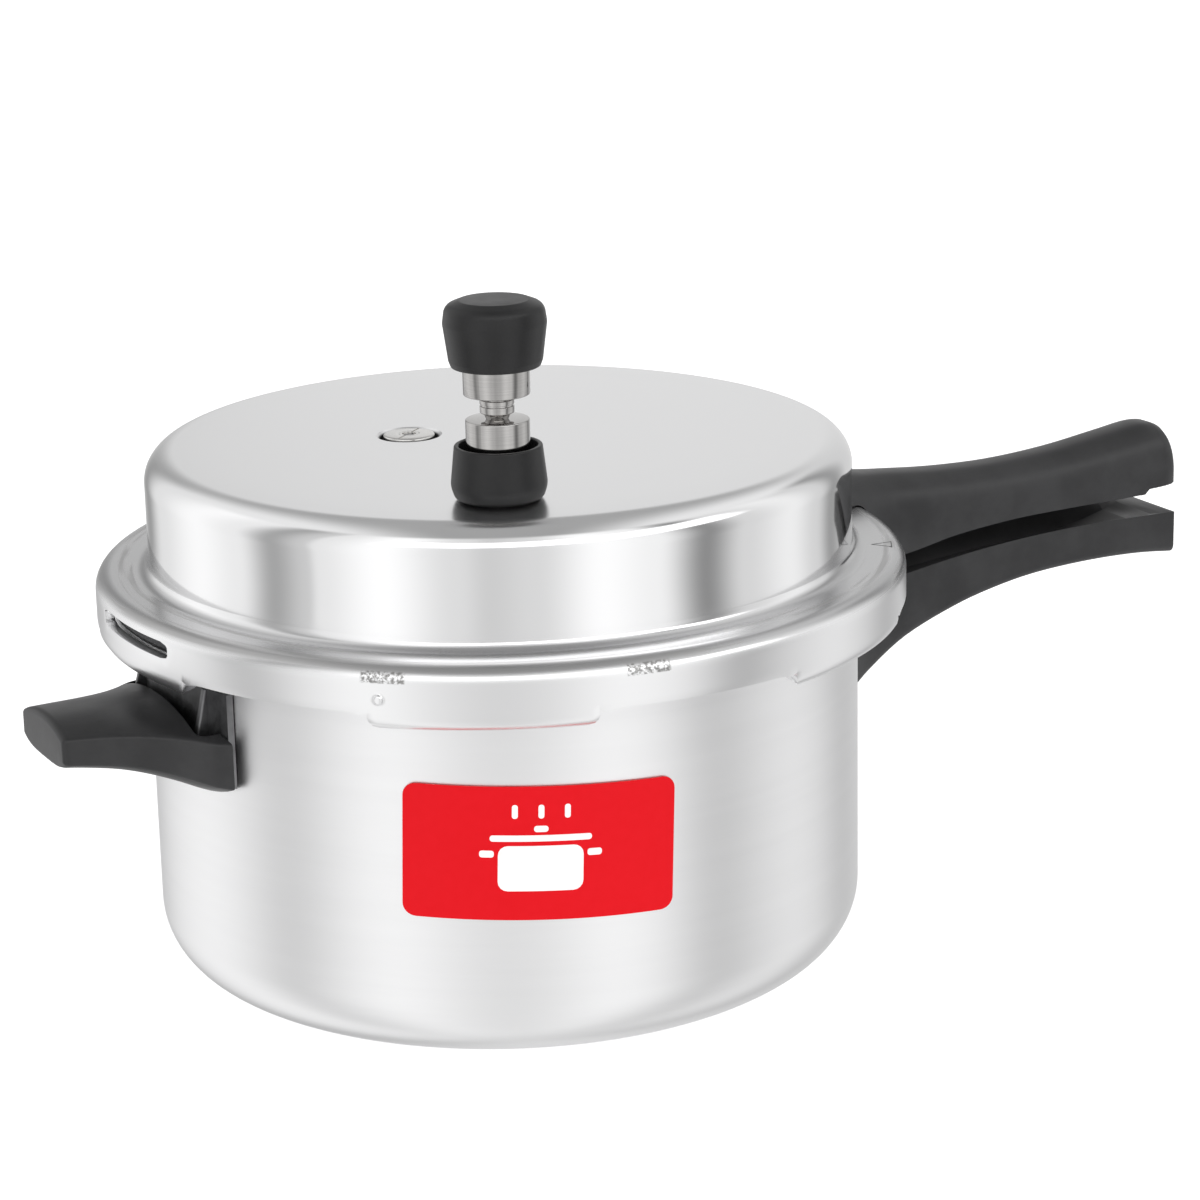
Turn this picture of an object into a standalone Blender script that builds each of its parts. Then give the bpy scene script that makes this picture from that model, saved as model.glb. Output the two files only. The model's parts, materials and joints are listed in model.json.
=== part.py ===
"""Stovetop pressure cooker with an outer, twist-lock lid.

Sizes are in millimetres and MM turns them into Blender's metres. The origin is the centre of the
pot's base, +Z is up, and the long handles point along +X.
"""

from math import acos, cos, degrees, pi, radians, sin, sqrt

import bmesh
import bpy
from mathutils import Matrix, Vector

MM = 0.001
GAP = 0.35          # clearance between pieces that touch
HOLE_PLAY = 0.35    # radial clearance of a shank in its hole
STEPS = 60          # sides of the large turned pieces
SMALL_STEPS = 28    # sides of the small turned pieces
RIVET_STEPS = 14
SECTION_STEPS = 10  # sides of each half of a handle's cross-section

# Pot
POT_RADIUS = 116.5
POT_HEIGHT = 125.2
POT_WALL = 3.0
POT_BASE = 4.0
POT_BASE_FILLET = 22.0
RIM_OVERHANG = 2.5
RIM_DEPTH = 5.3
POT_LUG_REACH = 11.0
LUG_COUNT = 6
POT_LUG_ANGLE = 25.0
LUG_FIRST = 1.0     # azimuth of a locked pair of lugs, just off the handles

# Lid
LID_SHEET = 3.2
LID_HEIGHT = 47.3   # from the rim of the pot to the top of the lid
DOME_INSET = 1.7    # of the dome from the pot wall
DOME_SHOULDER = 9.6
DOME_CROWN = 0.9
DOME_FOOT_FILLET = 7.0
SKIRT_OUTSET = 15.8  # of the skirt from the pot wall
SKIRT_SHOULDER = 5.5
LID_LUG_ANGLE = 30.0
LID_LUG_DROP = 5.4  # how far a lug hangs below the skirt between the lugs
LUG_LIP = 7.6       # inward reach of a lug's turned-in lip
LUG_BEND = 4.0
SLOT_AZIMUTH = 182.5
SLOT_ANGLE = 20.4
SLOT_LOW = -0.2     # from the rim of the pot
SLOT_HIGH = 5.1

# Gasket
GASKET_WIDTH = 11.0
GASKET_HEIGHT = 5.4
GASKET_PLAY = 0.5

# Long handles
HANDLE_LENGTH = 146.5  # from the pot wall
HANDLE_SHELL = 3.4

# Brackets
PLATE = 2.0
TONGUE = 2.2
RIVET_SHANK = 2.4
RIVET_HEAD = 4.4
RIVET_HEAD_HEIGHT = 1.7
SCREW_SHANK = 2.3
SCREW_HEAD = 4.0
SCREW_HEAD_HEIGHT = 2.0

# Weight valve, placed on the lid
VENT_INSET = 32.2   # from the dome wall
VENT_AZIMUTH = -116.0
VENT_BORE = 1.4
VENT_OUTER = 3.9
VENT_HEIGHT = 20.0
VENT_HEX = 6.6
VENT_HEX_HEIGHT = 3.8
VENT_THREAD = 4.9
SKIRT_CUP_RADIUS = 14.75
SKIRT_CUP_RIM = 13.1
SKIRT_CUP_HEIGHT = 19.2
SKIRT_CUP_LEDGE = 5.7
CORE_LOW_RADIUS = 9.75
CORE_LOW_TOP = 24.9
CORE_NECK_RADIUS = 2.6
CORE_RING_RADIUS = 4.75
CORE_HIGH_RADIUS = 10.15
CORE_HIGH_BOTTOM = 32.5
CORE_HIGH_TOP = 40.8
CORE_STUD_RADIUS = 4.0
CORE_STUD_TOP = 52.0
KNOB_FOOT_RADIUS = 13.9
KNOB_RADIUS = 15.6
KNOB_WIDEST = 55.0
KNOB_TOP = 61.4
KNOB_TOP_RADIUS = 10.5

# Safety plug
PLUG_X = -25.2
PLUG_Y = 14.2
PLUG_HEAD = 8.35
PLUG_RECESS = 1.2
PLUG_SHANK = 5.8
PLUG_LENGTH = 13.0
FUSE_RADIUS = 2.9
NUT_HEIGHT = 4.6
WASHER_HEIGHT = 1.2

# Label
LABEL_AZIMUTH = -111.5
LABEL_TOP_DROP = 32.7  # from the rim of the pot
LABEL_HEIGHT = 43.0
LABEL_ANGLE = 41.4
LABEL_SHEET = 0.4
LABEL_CORNER = 4.0
LABEL_TILT = -2.0

# Worked out
DOME_RADIUS = POT_RADIUS - DOME_INSET
SKIRT_RADIUS = POT_RADIUS + SKIRT_OUTSET
VENT_DISTANCE = DOME_RADIUS - VENT_INSET
LABEL_HIGH = POT_HEIGHT - LABEL_TOP_DROP
LABEL_LOW = LABEL_HIGH - LABEL_HEIGHT
LID_TOP = POT_HEIGHT + LID_HEIGHT
SKIRT_BORE = SKIRT_RADIUS - LID_SHEET
CEILING = POT_HEIGHT + GAP + GASKET_HEIGHT + GAP
FLANGE_TOP = CEILING + LID_SHEET
LUG_UNDERSIDE = POT_HEIGHT - RIM_DEPTH
LIP_TOP = LUG_UNDERSIDE - GAP
SKIRT_BOTTOM = LIP_TOP + 0.4
LUG_BOTTOM = SKIRT_BOTTOM - LID_LUG_DROP
BRACKET_TOP = LUG_BOTTOM - 1.6
PITCH = 360.0 / LUG_COUNT
PLATE_INNER = POT_RADIUS + GAP
PLATE_OUTER = PLATE_INNER + PLATE


# ---------------------------------------------------------------- scene and materials

for old in list(bpy.data.objects):
    bpy.data.objects.remove(old, do_unlink=True)

parts = bpy.data.collections.new("pressure_cooker")
cutters = bpy.data.collections.new("cutters")
bpy.context.scene.collection.children.link(parts)
bpy.context.scene.collection.children.link(cutters)
cutters.hide_render = True


def material(name, colour, roughness, metallic):
    made = bpy.data.materials.new(name)
    made.use_nodes = True
    shader = made.node_tree.nodes["Principled BSDF"]
    shader.inputs["Base Color"].default_value = (*colour, 1.0)
    shader.inputs["Roughness"].default_value = roughness
    shader.inputs["Metallic"].default_value = metallic
    return made


POLISHED = material("polished_aluminium", (0.86, 0.86, 0.87), 0.18, 1.0)
SATIN = material("satin_aluminium", (0.80, 0.81, 0.82), 0.32, 1.0)
ALLOY = material("bracket_steel", (0.34, 0.34, 0.35), 0.38, 1.0)
STEEL = material("turned_steel", (0.62, 0.60, 0.58), 0.22, 1.0)
BRASS = material("plated_brass", (0.72, 0.66, 0.50), 0.30, 1.0)
FUSIBLE = material("fusible_alloy", (0.30, 0.30, 0.31), 0.55, 1.0)
PHENOLIC = material("black_phenolic", (0.030, 0.030, 0.032), 0.45, 0.0)
RUBBER = material("grey_rubber", (0.055, 0.055, 0.060), 0.75, 0.0)
RED = material("red_enamel", (0.78, 0.012, 0.020), 0.35, 0.0)


def add(name, mesh, finish=None):
    """A node when it has a finish, and otherwise a cutter."""
    made = bpy.data.objects.new(name, mesh)
    if finish is None:
        cutters.objects.link(made)
        made.hide_render = True
        made.display_type = "WIRE"
    else:
        parts.objects.link(made)
        mesh.materials.append(finish)
    return made


# ---------------------------------------------------------------- shapes

def arc(x, z, radius, start, end, count=6):
    """Points of a profile on a circle, with the angles in degrees from +X towards +Z."""
    return [
        (x + radius * cos(radians(start + (end - start) * step / count)),
         z + radius * sin(radians(start + (end - start) * step / count)))
        for step in range(count + 1)
    ]


def turned(name, profile, finish=None, steps=STEPS, closed=False, centre=(0.0, 0.0, 0.0)):
    """A profile of (radius, height) turned about a vertical axis through centre."""
    mesh = bpy.data.meshes.new(name)
    count = len(profile)
    edges = [(index, index + 1) for index in range(count - 1)]
    if closed:
        edges.append((count - 1, 0))
    mesh.from_pydata([(x * MM, 0.0, z * MM) for x, z in profile], edges, [])
    made = add(name, mesh, finish)
    made.location = Vector(centre) * MM
    screw = made.modifiers.new("turn", "SCREW")
    screw.axis = "Z"
    screw.angle = 2 * pi
    screw.steps = steps
    screw.render_steps = steps
    screw.use_merge_vertices = True
    screw.merge_threshold = 0.00001
    screw.use_smooth_shade = True
    return made


def blocks(name, pieces, finish=None, round_edges=0.0):
    """Boxes given as (low corner, high corner, azimuth), each turned about the vertical axis."""
    made = bmesh.new()
    for low, high, azimuth in pieces:
        size = Vector(high) - Vector(low)
        middle = (Vector(high) + Vector(low)) / 2
        place = (
            Matrix.Rotation(radians(azimuth), 4, "Z")
            @ Matrix.Translation(middle * MM)
            @ Matrix.Diagonal((*(size * MM), 1.0))
        )
        bmesh.ops.create_cube(made, size=1.0, matrix=place)
    mesh = bpy.data.meshes.new(name)
    made.to_mesh(mesh)
    made.free()
    box = add(name, mesh, finish)
    if round_edges:
        bevel = box.modifiers.new("round", "BEVEL")
        bevel.width = round_edges * MM
        bevel.segments = 4
    return box


def rod(name, radius, start, end, finish=None, sides=SMALL_STEPS):
    """A cylinder or, with few sides, a prism between two points."""
    made = bmesh.new()
    span = (Vector(end) - Vector(start)) * MM
    place = Matrix.Translation((Vector(start) + Vector(end)) / 2 * MM)
    turn = Vector((0, 0, 1)).rotation_difference(span).to_matrix().to_4x4()
    bmesh.ops.create_cone(
        made, cap_ends=True, segments=sides, radius1=radius * MM, radius2=radius * MM,
        depth=span.length, matrix=place @ turn,
    )
    mesh = bpy.data.meshes.new(name)
    made.to_mesh(mesh)
    made.free()
    return add(name, mesh, finish)


def loft(name, stations, finish=None, axis=1):
    """A handle drawn through cross-sections (x, half width, top, edge, belly, crown)."""
    made = bmesh.new()
    rings = []
    for x, half_width, top, edge, belly, crown in stations:
        ring = []
        for base, peak, side in ((top, crown, 1), (edge, belly, -1)):
            for step in range(SECTION_STEPS + 1):
                turn = pi * step / SECTION_STEPS
                across = abs(cos(turn)) ** 0.55 * (1 if cos(turn) > 0 else -1)
                ring.append((side * half_width * across, base + (peak - base) * sin(turn)))
        rings.append([made.verts.new((axis * x * MM, y * MM, z * MM)) for y, z in ring])
    count = len(rings[0])
    for near, far in zip(rings, rings[1:]):
        for index in range(count):
            after = (index + 1) % count
            made.faces.new((near[index], near[after], far[after], far[index]))
    made.faces.new(rings[0])
    made.faces.new(reversed(rings[-1]))
    bmesh.ops.recalc_face_normals(made, faces=made.faces)
    mesh = bpy.data.meshes.new(name)
    made.to_mesh(mesh)
    made.free()
    return add(name, mesh, finish)


def between(stations, count=6):
    """The stations of a loft with a smooth curve through them."""
    smooth = []
    for index in range(len(stations) - 1):
        before = stations[max(index - 1, 0)]
        start = stations[index]
        end = stations[index + 1]
        after = stations[min(index + 2, len(stations) - 1)]
        for step in range(count):
            t = step / count
            smooth.append(tuple(
                0.5 * (2 * b + (c - a) * t + (2 * a - 5 * b + 4 * c - d) * t * t
                       + (3 * b - 3 * c + d - a) * t * t * t)
                for a, b, c, d in zip(before, start, end, after)
            ))
    smooth.append(stations[-1])
    return smooth


def combine(target, other, operation="DIFFERENCE"):
    boolean = target.modifiers.new(operation.lower() + "_" + other.name, "BOOLEAN")
    boolean.operation = operation
    boolean.solver = "EXACT"
    boolean.object = other
    return target


def radial(azimuth, radius, z):
    return (radius * cos(radians(azimuth)), radius * sin(radians(azimuth)), z)


# ---------------------------------------------------------------- pot

def pot_body():
    inner = POT_RADIUS - POT_WALL
    fillet = POT_BASE_FILLET
    inner_fillet = fillet - POT_WALL
    rim = POT_RADIUS + RIM_OVERHANG
    reach = POT_RADIUS + POT_LUG_REACH
    profile = [(0.0, POT_BASE)]
    profile += arc(inner - inner_fillet, POT_BASE + inner_fillet, inner_fillet, -90, 0, 6)
    profile += [(inner, POT_HEIGHT - 0.8), (inner + 0.8, POT_HEIGHT)]
    profile += [(reach - 0.8, POT_HEIGHT), (reach, POT_HEIGHT - 0.8)]
    profile += [(reach, LUG_UNDERSIDE + 0.8), (reach - 0.8, LUG_UNDERSIDE)]
    profile += [(rim, LUG_UNDERSIDE)]
    profile += arc(rim, LUG_UNDERSIDE - RIM_OVERHANG, RIM_OVERHANG, 90, 180, 4)[1:]
    profile += arc(POT_RADIUS - fillet, fillet, fillet, 0, -90, 8)
    profile += [(0.0, 0.0)]
    pot = turned("pot_body", profile, SATIN)

    # Between the lugs only the rim is left.
    waste = turned("pot_lug_waste", [
        (rim, POT_HEIGHT + 2), (reach + 4, POT_HEIGHT + 2),
        (reach + 4, LUG_UNDERSIDE - 2), (rim, LUG_UNDERSIDE - 2),
    ], closed=True)
    half = reach * sin(radians(POT_LUG_ANGLE / 2))
    lugs = blocks("pot_lugs", [
        ((rim - 6, -half, LUG_UNDERSIDE - 4), (reach + 8, half, POT_HEIGHT + 4), LUG_FIRST + PITCH * index)
        for index in range(LUG_COUNT)
    ])
    combine(waste, lugs)
    return combine(pot, waste)


def label():
    plate = turned("label", [
        (PLATE_INNER, LABEL_HIGH + 6), (PLATE_INNER + LABEL_SHEET, LABEL_HIGH + 6),
        (PLATE_INNER + LABEL_SHEET, LABEL_LOW - 6), (PLATE_INNER, LABEL_LOW - 6),
    ], RED, closed=True)
    half = PLATE_INNER * sin(radians(LABEL_ANGLE / 2))
    outline = blocks("label_outline", [
        ((PLATE_INNER * 0.6, -half, -(LABEL_HIGH - LABEL_LOW) / 2),
         (PLATE_INNER * 1.3, half, (LABEL_HIGH - LABEL_LOW) / 2), 0.0),
    ], round_edges=LABEL_CORNER)
    outline.location = (0, 0, (LABEL_HIGH + LABEL_LOW) / 2 * MM)
    outline.rotation_euler = (radians(LABEL_TILT), 0, radians(LABEL_AZIMUTH))
    return combine(plate, outline, "INTERSECT")


# ---------------------------------------------------------------- lid

def lid_shell():
    top = LID_TOP
    sheet = LID_SHEET
    dome = DOME_RADIUS
    bore = dome - sheet
    foot = DOME_FOOT_FILLET
    skirt = SKIRT_RADIUS
    shoulder_z = FLANGE_TOP - SKIRT_SHOULDER
    bend = LUG_BEND
    lip = SKIRT_BORE - LUG_LIP
    profile = [(0.0, top + DOME_CROWN), (dome * 0.5, top + DOME_CROWN * 0.75)]
    profile += arc(dome - DOME_SHOULDER, top - DOME_SHOULDER, DOME_SHOULDER, 90, 0, 6)
    profile += arc(dome + foot, FLANGE_TOP + foot, foot, 180, 270, 4)
    profile += arc(skirt - SKIRT_SHOULDER, shoulder_z, SKIRT_SHOULDER, 90, 0, 5)
    profile += arc(skirt - bend, LUG_BOTTOM + bend, bend, 0, -90, 3)
    profile += arc(lip + bend, LUG_BOTTOM + bend, bend, -90, -180, 3)
    profile += [(lip, LIP_TOP), (lip + sheet, LIP_TOP)]
    profile += arc(lip + bend, LUG_BOTTOM + bend, bend - sheet, 180, 270, 1)
    profile += arc(skirt - bend, LUG_BOTTOM + bend, bend - sheet, 270, 360, 1)
    profile += arc(SKIRT_BORE - 2.3, CEILING - 2.3, 2.3, 0, 90, 2)
    profile += arc(dome + foot, CEILING + foot + sheet, foot + sheet, 270, 180, 4)
    profile += arc(bore - 6.4, top - sheet - 6.4, 6.4, 0, 90, 4)
    profile += [(0.0, top - sheet + DOME_CROWN * 0.6)]
    lid = turned("lid_shell", profile, POLISHED)

    gap = PITCH - LID_LUG_ANGLE
    half = SKIRT_RADIUS * sin(radians(gap / 2))
    notches = blocks("lid_notches", [
        ((lip - 8, -half, LUG_BOTTOM - 8), (SKIRT_RADIUS + 8, half, SKIRT_BOTTOM),
         LUG_FIRST + PITCH * (index + 0.5))
        for index in range(LUG_COUNT)
    ], round_edges=3.6)
    combine(lid, notches)

    slot_half = SKIRT_RADIUS * sin(radians(SLOT_ANGLE / 2))
    slot = blocks("release_slot", [
        ((SKIRT_BORE - 6, -slot_half, POT_HEIGHT + SLOT_LOW),
         (SKIRT_RADIUS + 6, slot_half, POT_HEIGHT + SLOT_HIGH), SLOT_AZIMUTH),
    ], round_edges=2.0)
    combine(lid, slot)

    vent = radial(VENT_AZIMUTH, VENT_DISTANCE, LID_TOP)
    plug = (PLUG_X, PLUG_Y, LID_TOP)
    for name, place, radius in (
        ("vent_hole", vent, VENT_THREAD + HOLE_PLAY),
        ("plug_hole", plug, PLUG_SHANK + HOLE_PLAY),
    ):
        low = (place[0], place[1], place[2] - 8)
        high = (place[0], place[1], place[2] + 8)
        combine(lid, rod(name, radius, low, high))
    recess = rod("plug_recess", PLUG_HEAD + 1.2,
                 (plug[0], plug[1], LID_TOP - PLUG_RECESS + DOME_CROWN), (plug[0], plug[1], LID_TOP + 8))
    return combine(lid, recess)


def gasket():
    outer = SKIRT_BORE - GASKET_PLAY
    inner = outer - GASKET_WIDTH
    low = POT_HEIGHT + GAP
    high = CEILING - GAP
    round_off = 1.6
    profile = [(inner + round_off, high)]
    profile += arc(outer - 2.5, high - 2.5, 2.5, 90, 0, 4)
    profile += [(outer, low + round_off), (outer - round_off, low)]
    profile += [(inner + round_off, low), (inner, low + round_off), (inner, high - round_off)]
    return turned("gasket", profile, RUBBER, closed=True)


# ---------------------------------------------------------------- brackets, rivets and screws

def radial_rivet(name, azimuth, z, inner, outer, finish):
    """A rivet along a radius, with its heads outside a wall that lies between two radii."""
    head = RIVET_HEAD
    height = RIVET_HEAD_HEIGHT
    shank = RIVET_SHANK
    profile = [(0.0, outer + GAP + height)]
    profile += [(head * 0.55, outer + GAP + height * 0.92), (head * 0.88, outer + GAP + height * 0.6)]
    profile += [(head, outer + GAP), (shank, outer + GAP), (shank, inner - GAP * 1.4)]
    profile += [(head, inner - GAP * 1.4), (head * 0.88, inner - GAP - height * 0.7)]
    profile += [(0.0, inner - GAP - height)]
    rivet = turned(name, profile, finish, steps=RIVET_STEPS)
    rivet.rotation_euler = (0, pi / 2, radians(azimuth))
    rivet.location = (0, 0, z * MM)
    return rivet


def rivet_hole(name, azimuth, z, inner, outer):
    radius = RIVET_SHANK + HOLE_PLAY
    return rod(name, radius, radial(azimuth, inner - 4, z), radial(azimuth, outer + 4, z))


def bracket(name, azimuth, wall_radius, half_width, low, high, tongue, rivets, screw):
    """A curved plate on a round wall, with a level tongue that runs into the handle.

    tongue is (half width, low, end), and rivets lists (angle from azimuth, height).
    """
    inner = wall_radius + GAP
    outer = inner + PLATE
    tongue_half, tongue_low, tongue_end = tongue
    plate = turned(name, [(inner, high), (outer, high), (outer, low), (inner, low)], ALLOY, closed=True)
    window = blocks(name + "_window", [
        ((wall_radius * 0.6, -half_width, low - 8), (outer + 8, half_width, high + 8), azimuth),
    ])
    combine(plate, window, "INTERSECT")
    root = sqrt(outer ** 2 - tongue_half ** 2) - PLATE * 0.6
    arm = blocks(name + "_tongue", [
        ((root, -tongue_half, tongue_low), (tongue_end, tongue_half, tongue_low + TONGUE), azimuth),
    ])
    combine(plate, arm, "UNION")
    for index, (angle, z) in enumerate(rivets):
        combine(plate, rivet_hole(f"{name}_hole_{index}", azimuth + angle, z, inner, outer))
    combine(plate, rod(name + "_screw_hole", SCREW_SHANK + HOLE_PLAY,
                       (*screw, tongue_low - 4), (*screw, tongue_low + 6)))
    return plate



def screw_up(name, place, low, high):
    """A pan-head screw driven upwards, with its head just below low and its tip at high."""
    head = SCREW_HEAD
    shank = SCREW_SHANK
    profile = [(0.0, high), (shank * 0.8, high), (shank, high - 0.6), (shank, low), (head, low)]
    profile += [(head, low - SCREW_HEAD_HEIGHT * 0.5), (head * 0.7, low - SCREW_HEAD_HEIGHT)]
    profile += [(0.0, low - SCREW_HEAD_HEIGHT)]
    return turned(name, profile, STEEL, steps=RIVET_STEPS, centre=(place[0], place[1], 0))


def cut_screw(handle, name, place, low, high, sink):
    """The counterbore, from sink up, and the hole that take a screw."""
    x, y = place
    combine(handle, rod(name + "_counterbore", SCREW_HEAD + HOLE_PLAY, (x, y, sink), (x, y, low + GAP)))
    combine(handle, rod(name + "_bore", SCREW_SHANK + HOLE_PLAY, (x, y, low), (x, y, high + GAP)))


def cut_tongue(handle, name, azimuth, half_width, low, start, end):
    combine(handle, blocks(name, [
        ((start, -half_width - GAP, low - GAP), (end + GAP, half_width + GAP, low + TONGUE + GAP), azimuth),
    ]))


# ---------------------------------------------------------------- handles

# Each tongue is (half width, underside, end).
POT_TONGUE = (9.0, POT_HEIGHT - 35.2, POT_RADIUS + 43.5)
POT_SCREW = (POT_RADIUS + 34.5, 0.0)
POT_SCREW_SPAN = (POT_TONGUE[1] - 2.2, POT_TONGUE[1] + 7.0)
POT_RIVETS = ((-7.5, POT_HEIGHT - 17.4), (7.5, POT_HEIGHT - 17.4), (0.0, POT_HEIGHT - 49.2))
HELPER_TONGUE = (9.0, POT_HEIGHT - 31.8, POT_RADIUS + 34.5)
HELPER_SCREW = (-POT_RADIUS - 28.5, 0.0)
HELPER_SCREW_SPAN = (HELPER_TONGUE[1] - 1.8, HELPER_TONGUE[1] + 4.6)
HELPER_RIVETS = ((-9.0, POT_HEIGHT - 37.2), (9.0, POT_HEIGHT - 37.2))
LID_TONGUE = (7.5, FLANGE_TOP + 1.2, POT_RADIUS + 38.5)
LID_SCREW = (POT_RADIUS + 31.5, 0.0)
LID_SCREW_SPAN = (LID_TONGUE[1] - 2.4, LID_TONGUE[1] + 3.2)
LID_RIVETS = ((-5.0, FLANGE_TOP + 16.0), (5.0, FLANGE_TOP + 16.0))


def placed(stations, up):
    """The stations of a loft, which are given from the pot wall and from a height."""
    return [(POT_RADIUS + x, half, *(up + z for z in heights)) for x, half, *heights in stations]


def pot_handle():
    outside = between(placed([
        # x, half width, top, edge, belly, crown
        (-2.5, 25.0, -21.7, -57.7, -59.7, -21.7),
        (4.5, 22.0, -20.6, -54.6, -56.6, -20.6),
        (15.5, 17.2, -19.6, -48.6, -51.2, -19.6),
        (32.5, 14.0, -18.3, -39.2, -42.2, -18.3),
        (53.5, 12.6, -15.9, -32.2, -35.0, -15.9),
        (71.5, 12.2, -14.2, -27.8, -30.6, -14.2),
        (89.5, 12.2, -13.2, -25.0, -27.8, -13.2),
        (111.5, 12.6, -12.6, -23.6, -26.4, -12.6),
        (131.5, 13.2, -12.6, -24.4, -27.2, -12.6),
        (HANDLE_LENGTH - 2, 13.4, -12.7, -26.0, -28.8, -12.7),
        (HANDLE_LENGTH, 12.2, -13.6, -25.0, -27.6, -13.6),
    ], POT_HEIGHT), 2)
    handle = loft("pot_handle", outside, PHENOLIC)
    # The upper side is a channel, deepest in the middle.
    channel = between(placed([
        (19.5, 9.0, -0.2, -19.2, -20.6, -0.2),
        (33.5, 9.6, -0.2, -22.6, -24.8, -0.2),
        (73.5, 12.2 - HANDLE_SHELL, -0.2, -19.2, -22.2, -0.2),
        (111.5, 12.6 - HANDLE_SHELL, -0.2, -16.8, -19.4, -0.2),
        (131.5, 9.4, -0.2, -15.4, -16.6, -0.2),
        (140.5, 8.6, -0.2, -12.6, -13.0, -0.2),
    ], POT_HEIGHT), 2)
    combine(handle, loft("pot_handle_channel", channel))
    wall = turned("pot_handle_wall", [
        (0.0, POT_HEIGHT), (PLATE_OUTER + GAP, POT_HEIGHT),
        (PLATE_OUTER + GAP, POT_HEIGHT - 75), (0.0, POT_HEIGHT - 75),
    ])
    combine(handle, wall)
    for index, (angle, z) in enumerate(POT_RIVETS):
        relief = rod(f"pot_handle_relief_{index}", RIVET_HEAD + 0.8,
                     radial(angle, PLATE_OUTER - 3, z),
                     radial(angle, PLATE_OUTER + GAP + RIVET_HEAD_HEIGHT + 0.6, z))
        combine(handle, relief)
    half, low, end = POT_TONGUE
    cut_tongue(handle, "pot_handle_slot", 0, half, low, POT_RADIUS, end)
    cut_screw(handle, "pot_screw", POT_SCREW, *POT_SCREW_SPAN, POT_HEIGHT - 55)
    return handle


def helper_handle():
    outside = between(placed([
        (-4.5, 39.0, -26.8, -45.2, -46.2, -20.8),
        (1.5, 37.2, -26.7, -43.2, -44.2, -20.6),
        (8.5, 31.0, -26.5, -40.2, -41.6, -20.4),
        (16.5, 25.6, -26.2, -37.0, -39.2, -20.2),
        (25.5, 22.2, -25.7, -34.2, -37.2, -20.0),
        (35.5, 20.4, -24.9, -32.2, -35.6, -19.8),
        (42.1, 19.6, -24.4, -31.0, -34.8, -19.8),
        (43.9, 18.4, -25.2, -30.4, -33.8, -21.4),
    ], POT_HEIGHT), 2)
    handle = loft("helper_handle", outside, PHENOLIC, axis=-1)
    wall = turned("helper_handle_wall", [
        (0.0, POT_HEIGHT), (PLATE_OUTER + GAP, POT_HEIGHT),
        (PLATE_OUTER + GAP, POT_HEIGHT - 75), (0.0, POT_HEIGHT - 75),
    ])
    combine(handle, wall)
    # The upper side stops short of the pot between two horns, so the bracket shows.
    combine(handle, blocks("helper_pocket", [
        ((POT_RADIUS - 20, -31.0, POT_HEIGHT - 35), (POT_RADIUS + 5.0, 31.0, POT_HEIGHT - 10), 180),
    ]))
    for index, (angle, z) in enumerate(HELPER_RIVETS):
        relief = rod(f"helper_handle_relief_{index}", RIVET_HEAD + 0.8,
                     radial(180 + angle, PLATE_OUTER - 3, z),
                     radial(180 + angle, PLATE_OUTER + GAP + RIVET_HEAD_HEIGHT + 0.6, z))
        combine(handle, relief)
    half, low, end = HELPER_TONGUE
    cut_tongue(handle, "helper_handle_slot", 180, half, low, POT_RADIUS, end)
    cut_screw(handle, "helper_screw", HELPER_SCREW, *HELPER_SCREW_SPAN, POT_HEIGHT - 45)
    return handle


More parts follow.
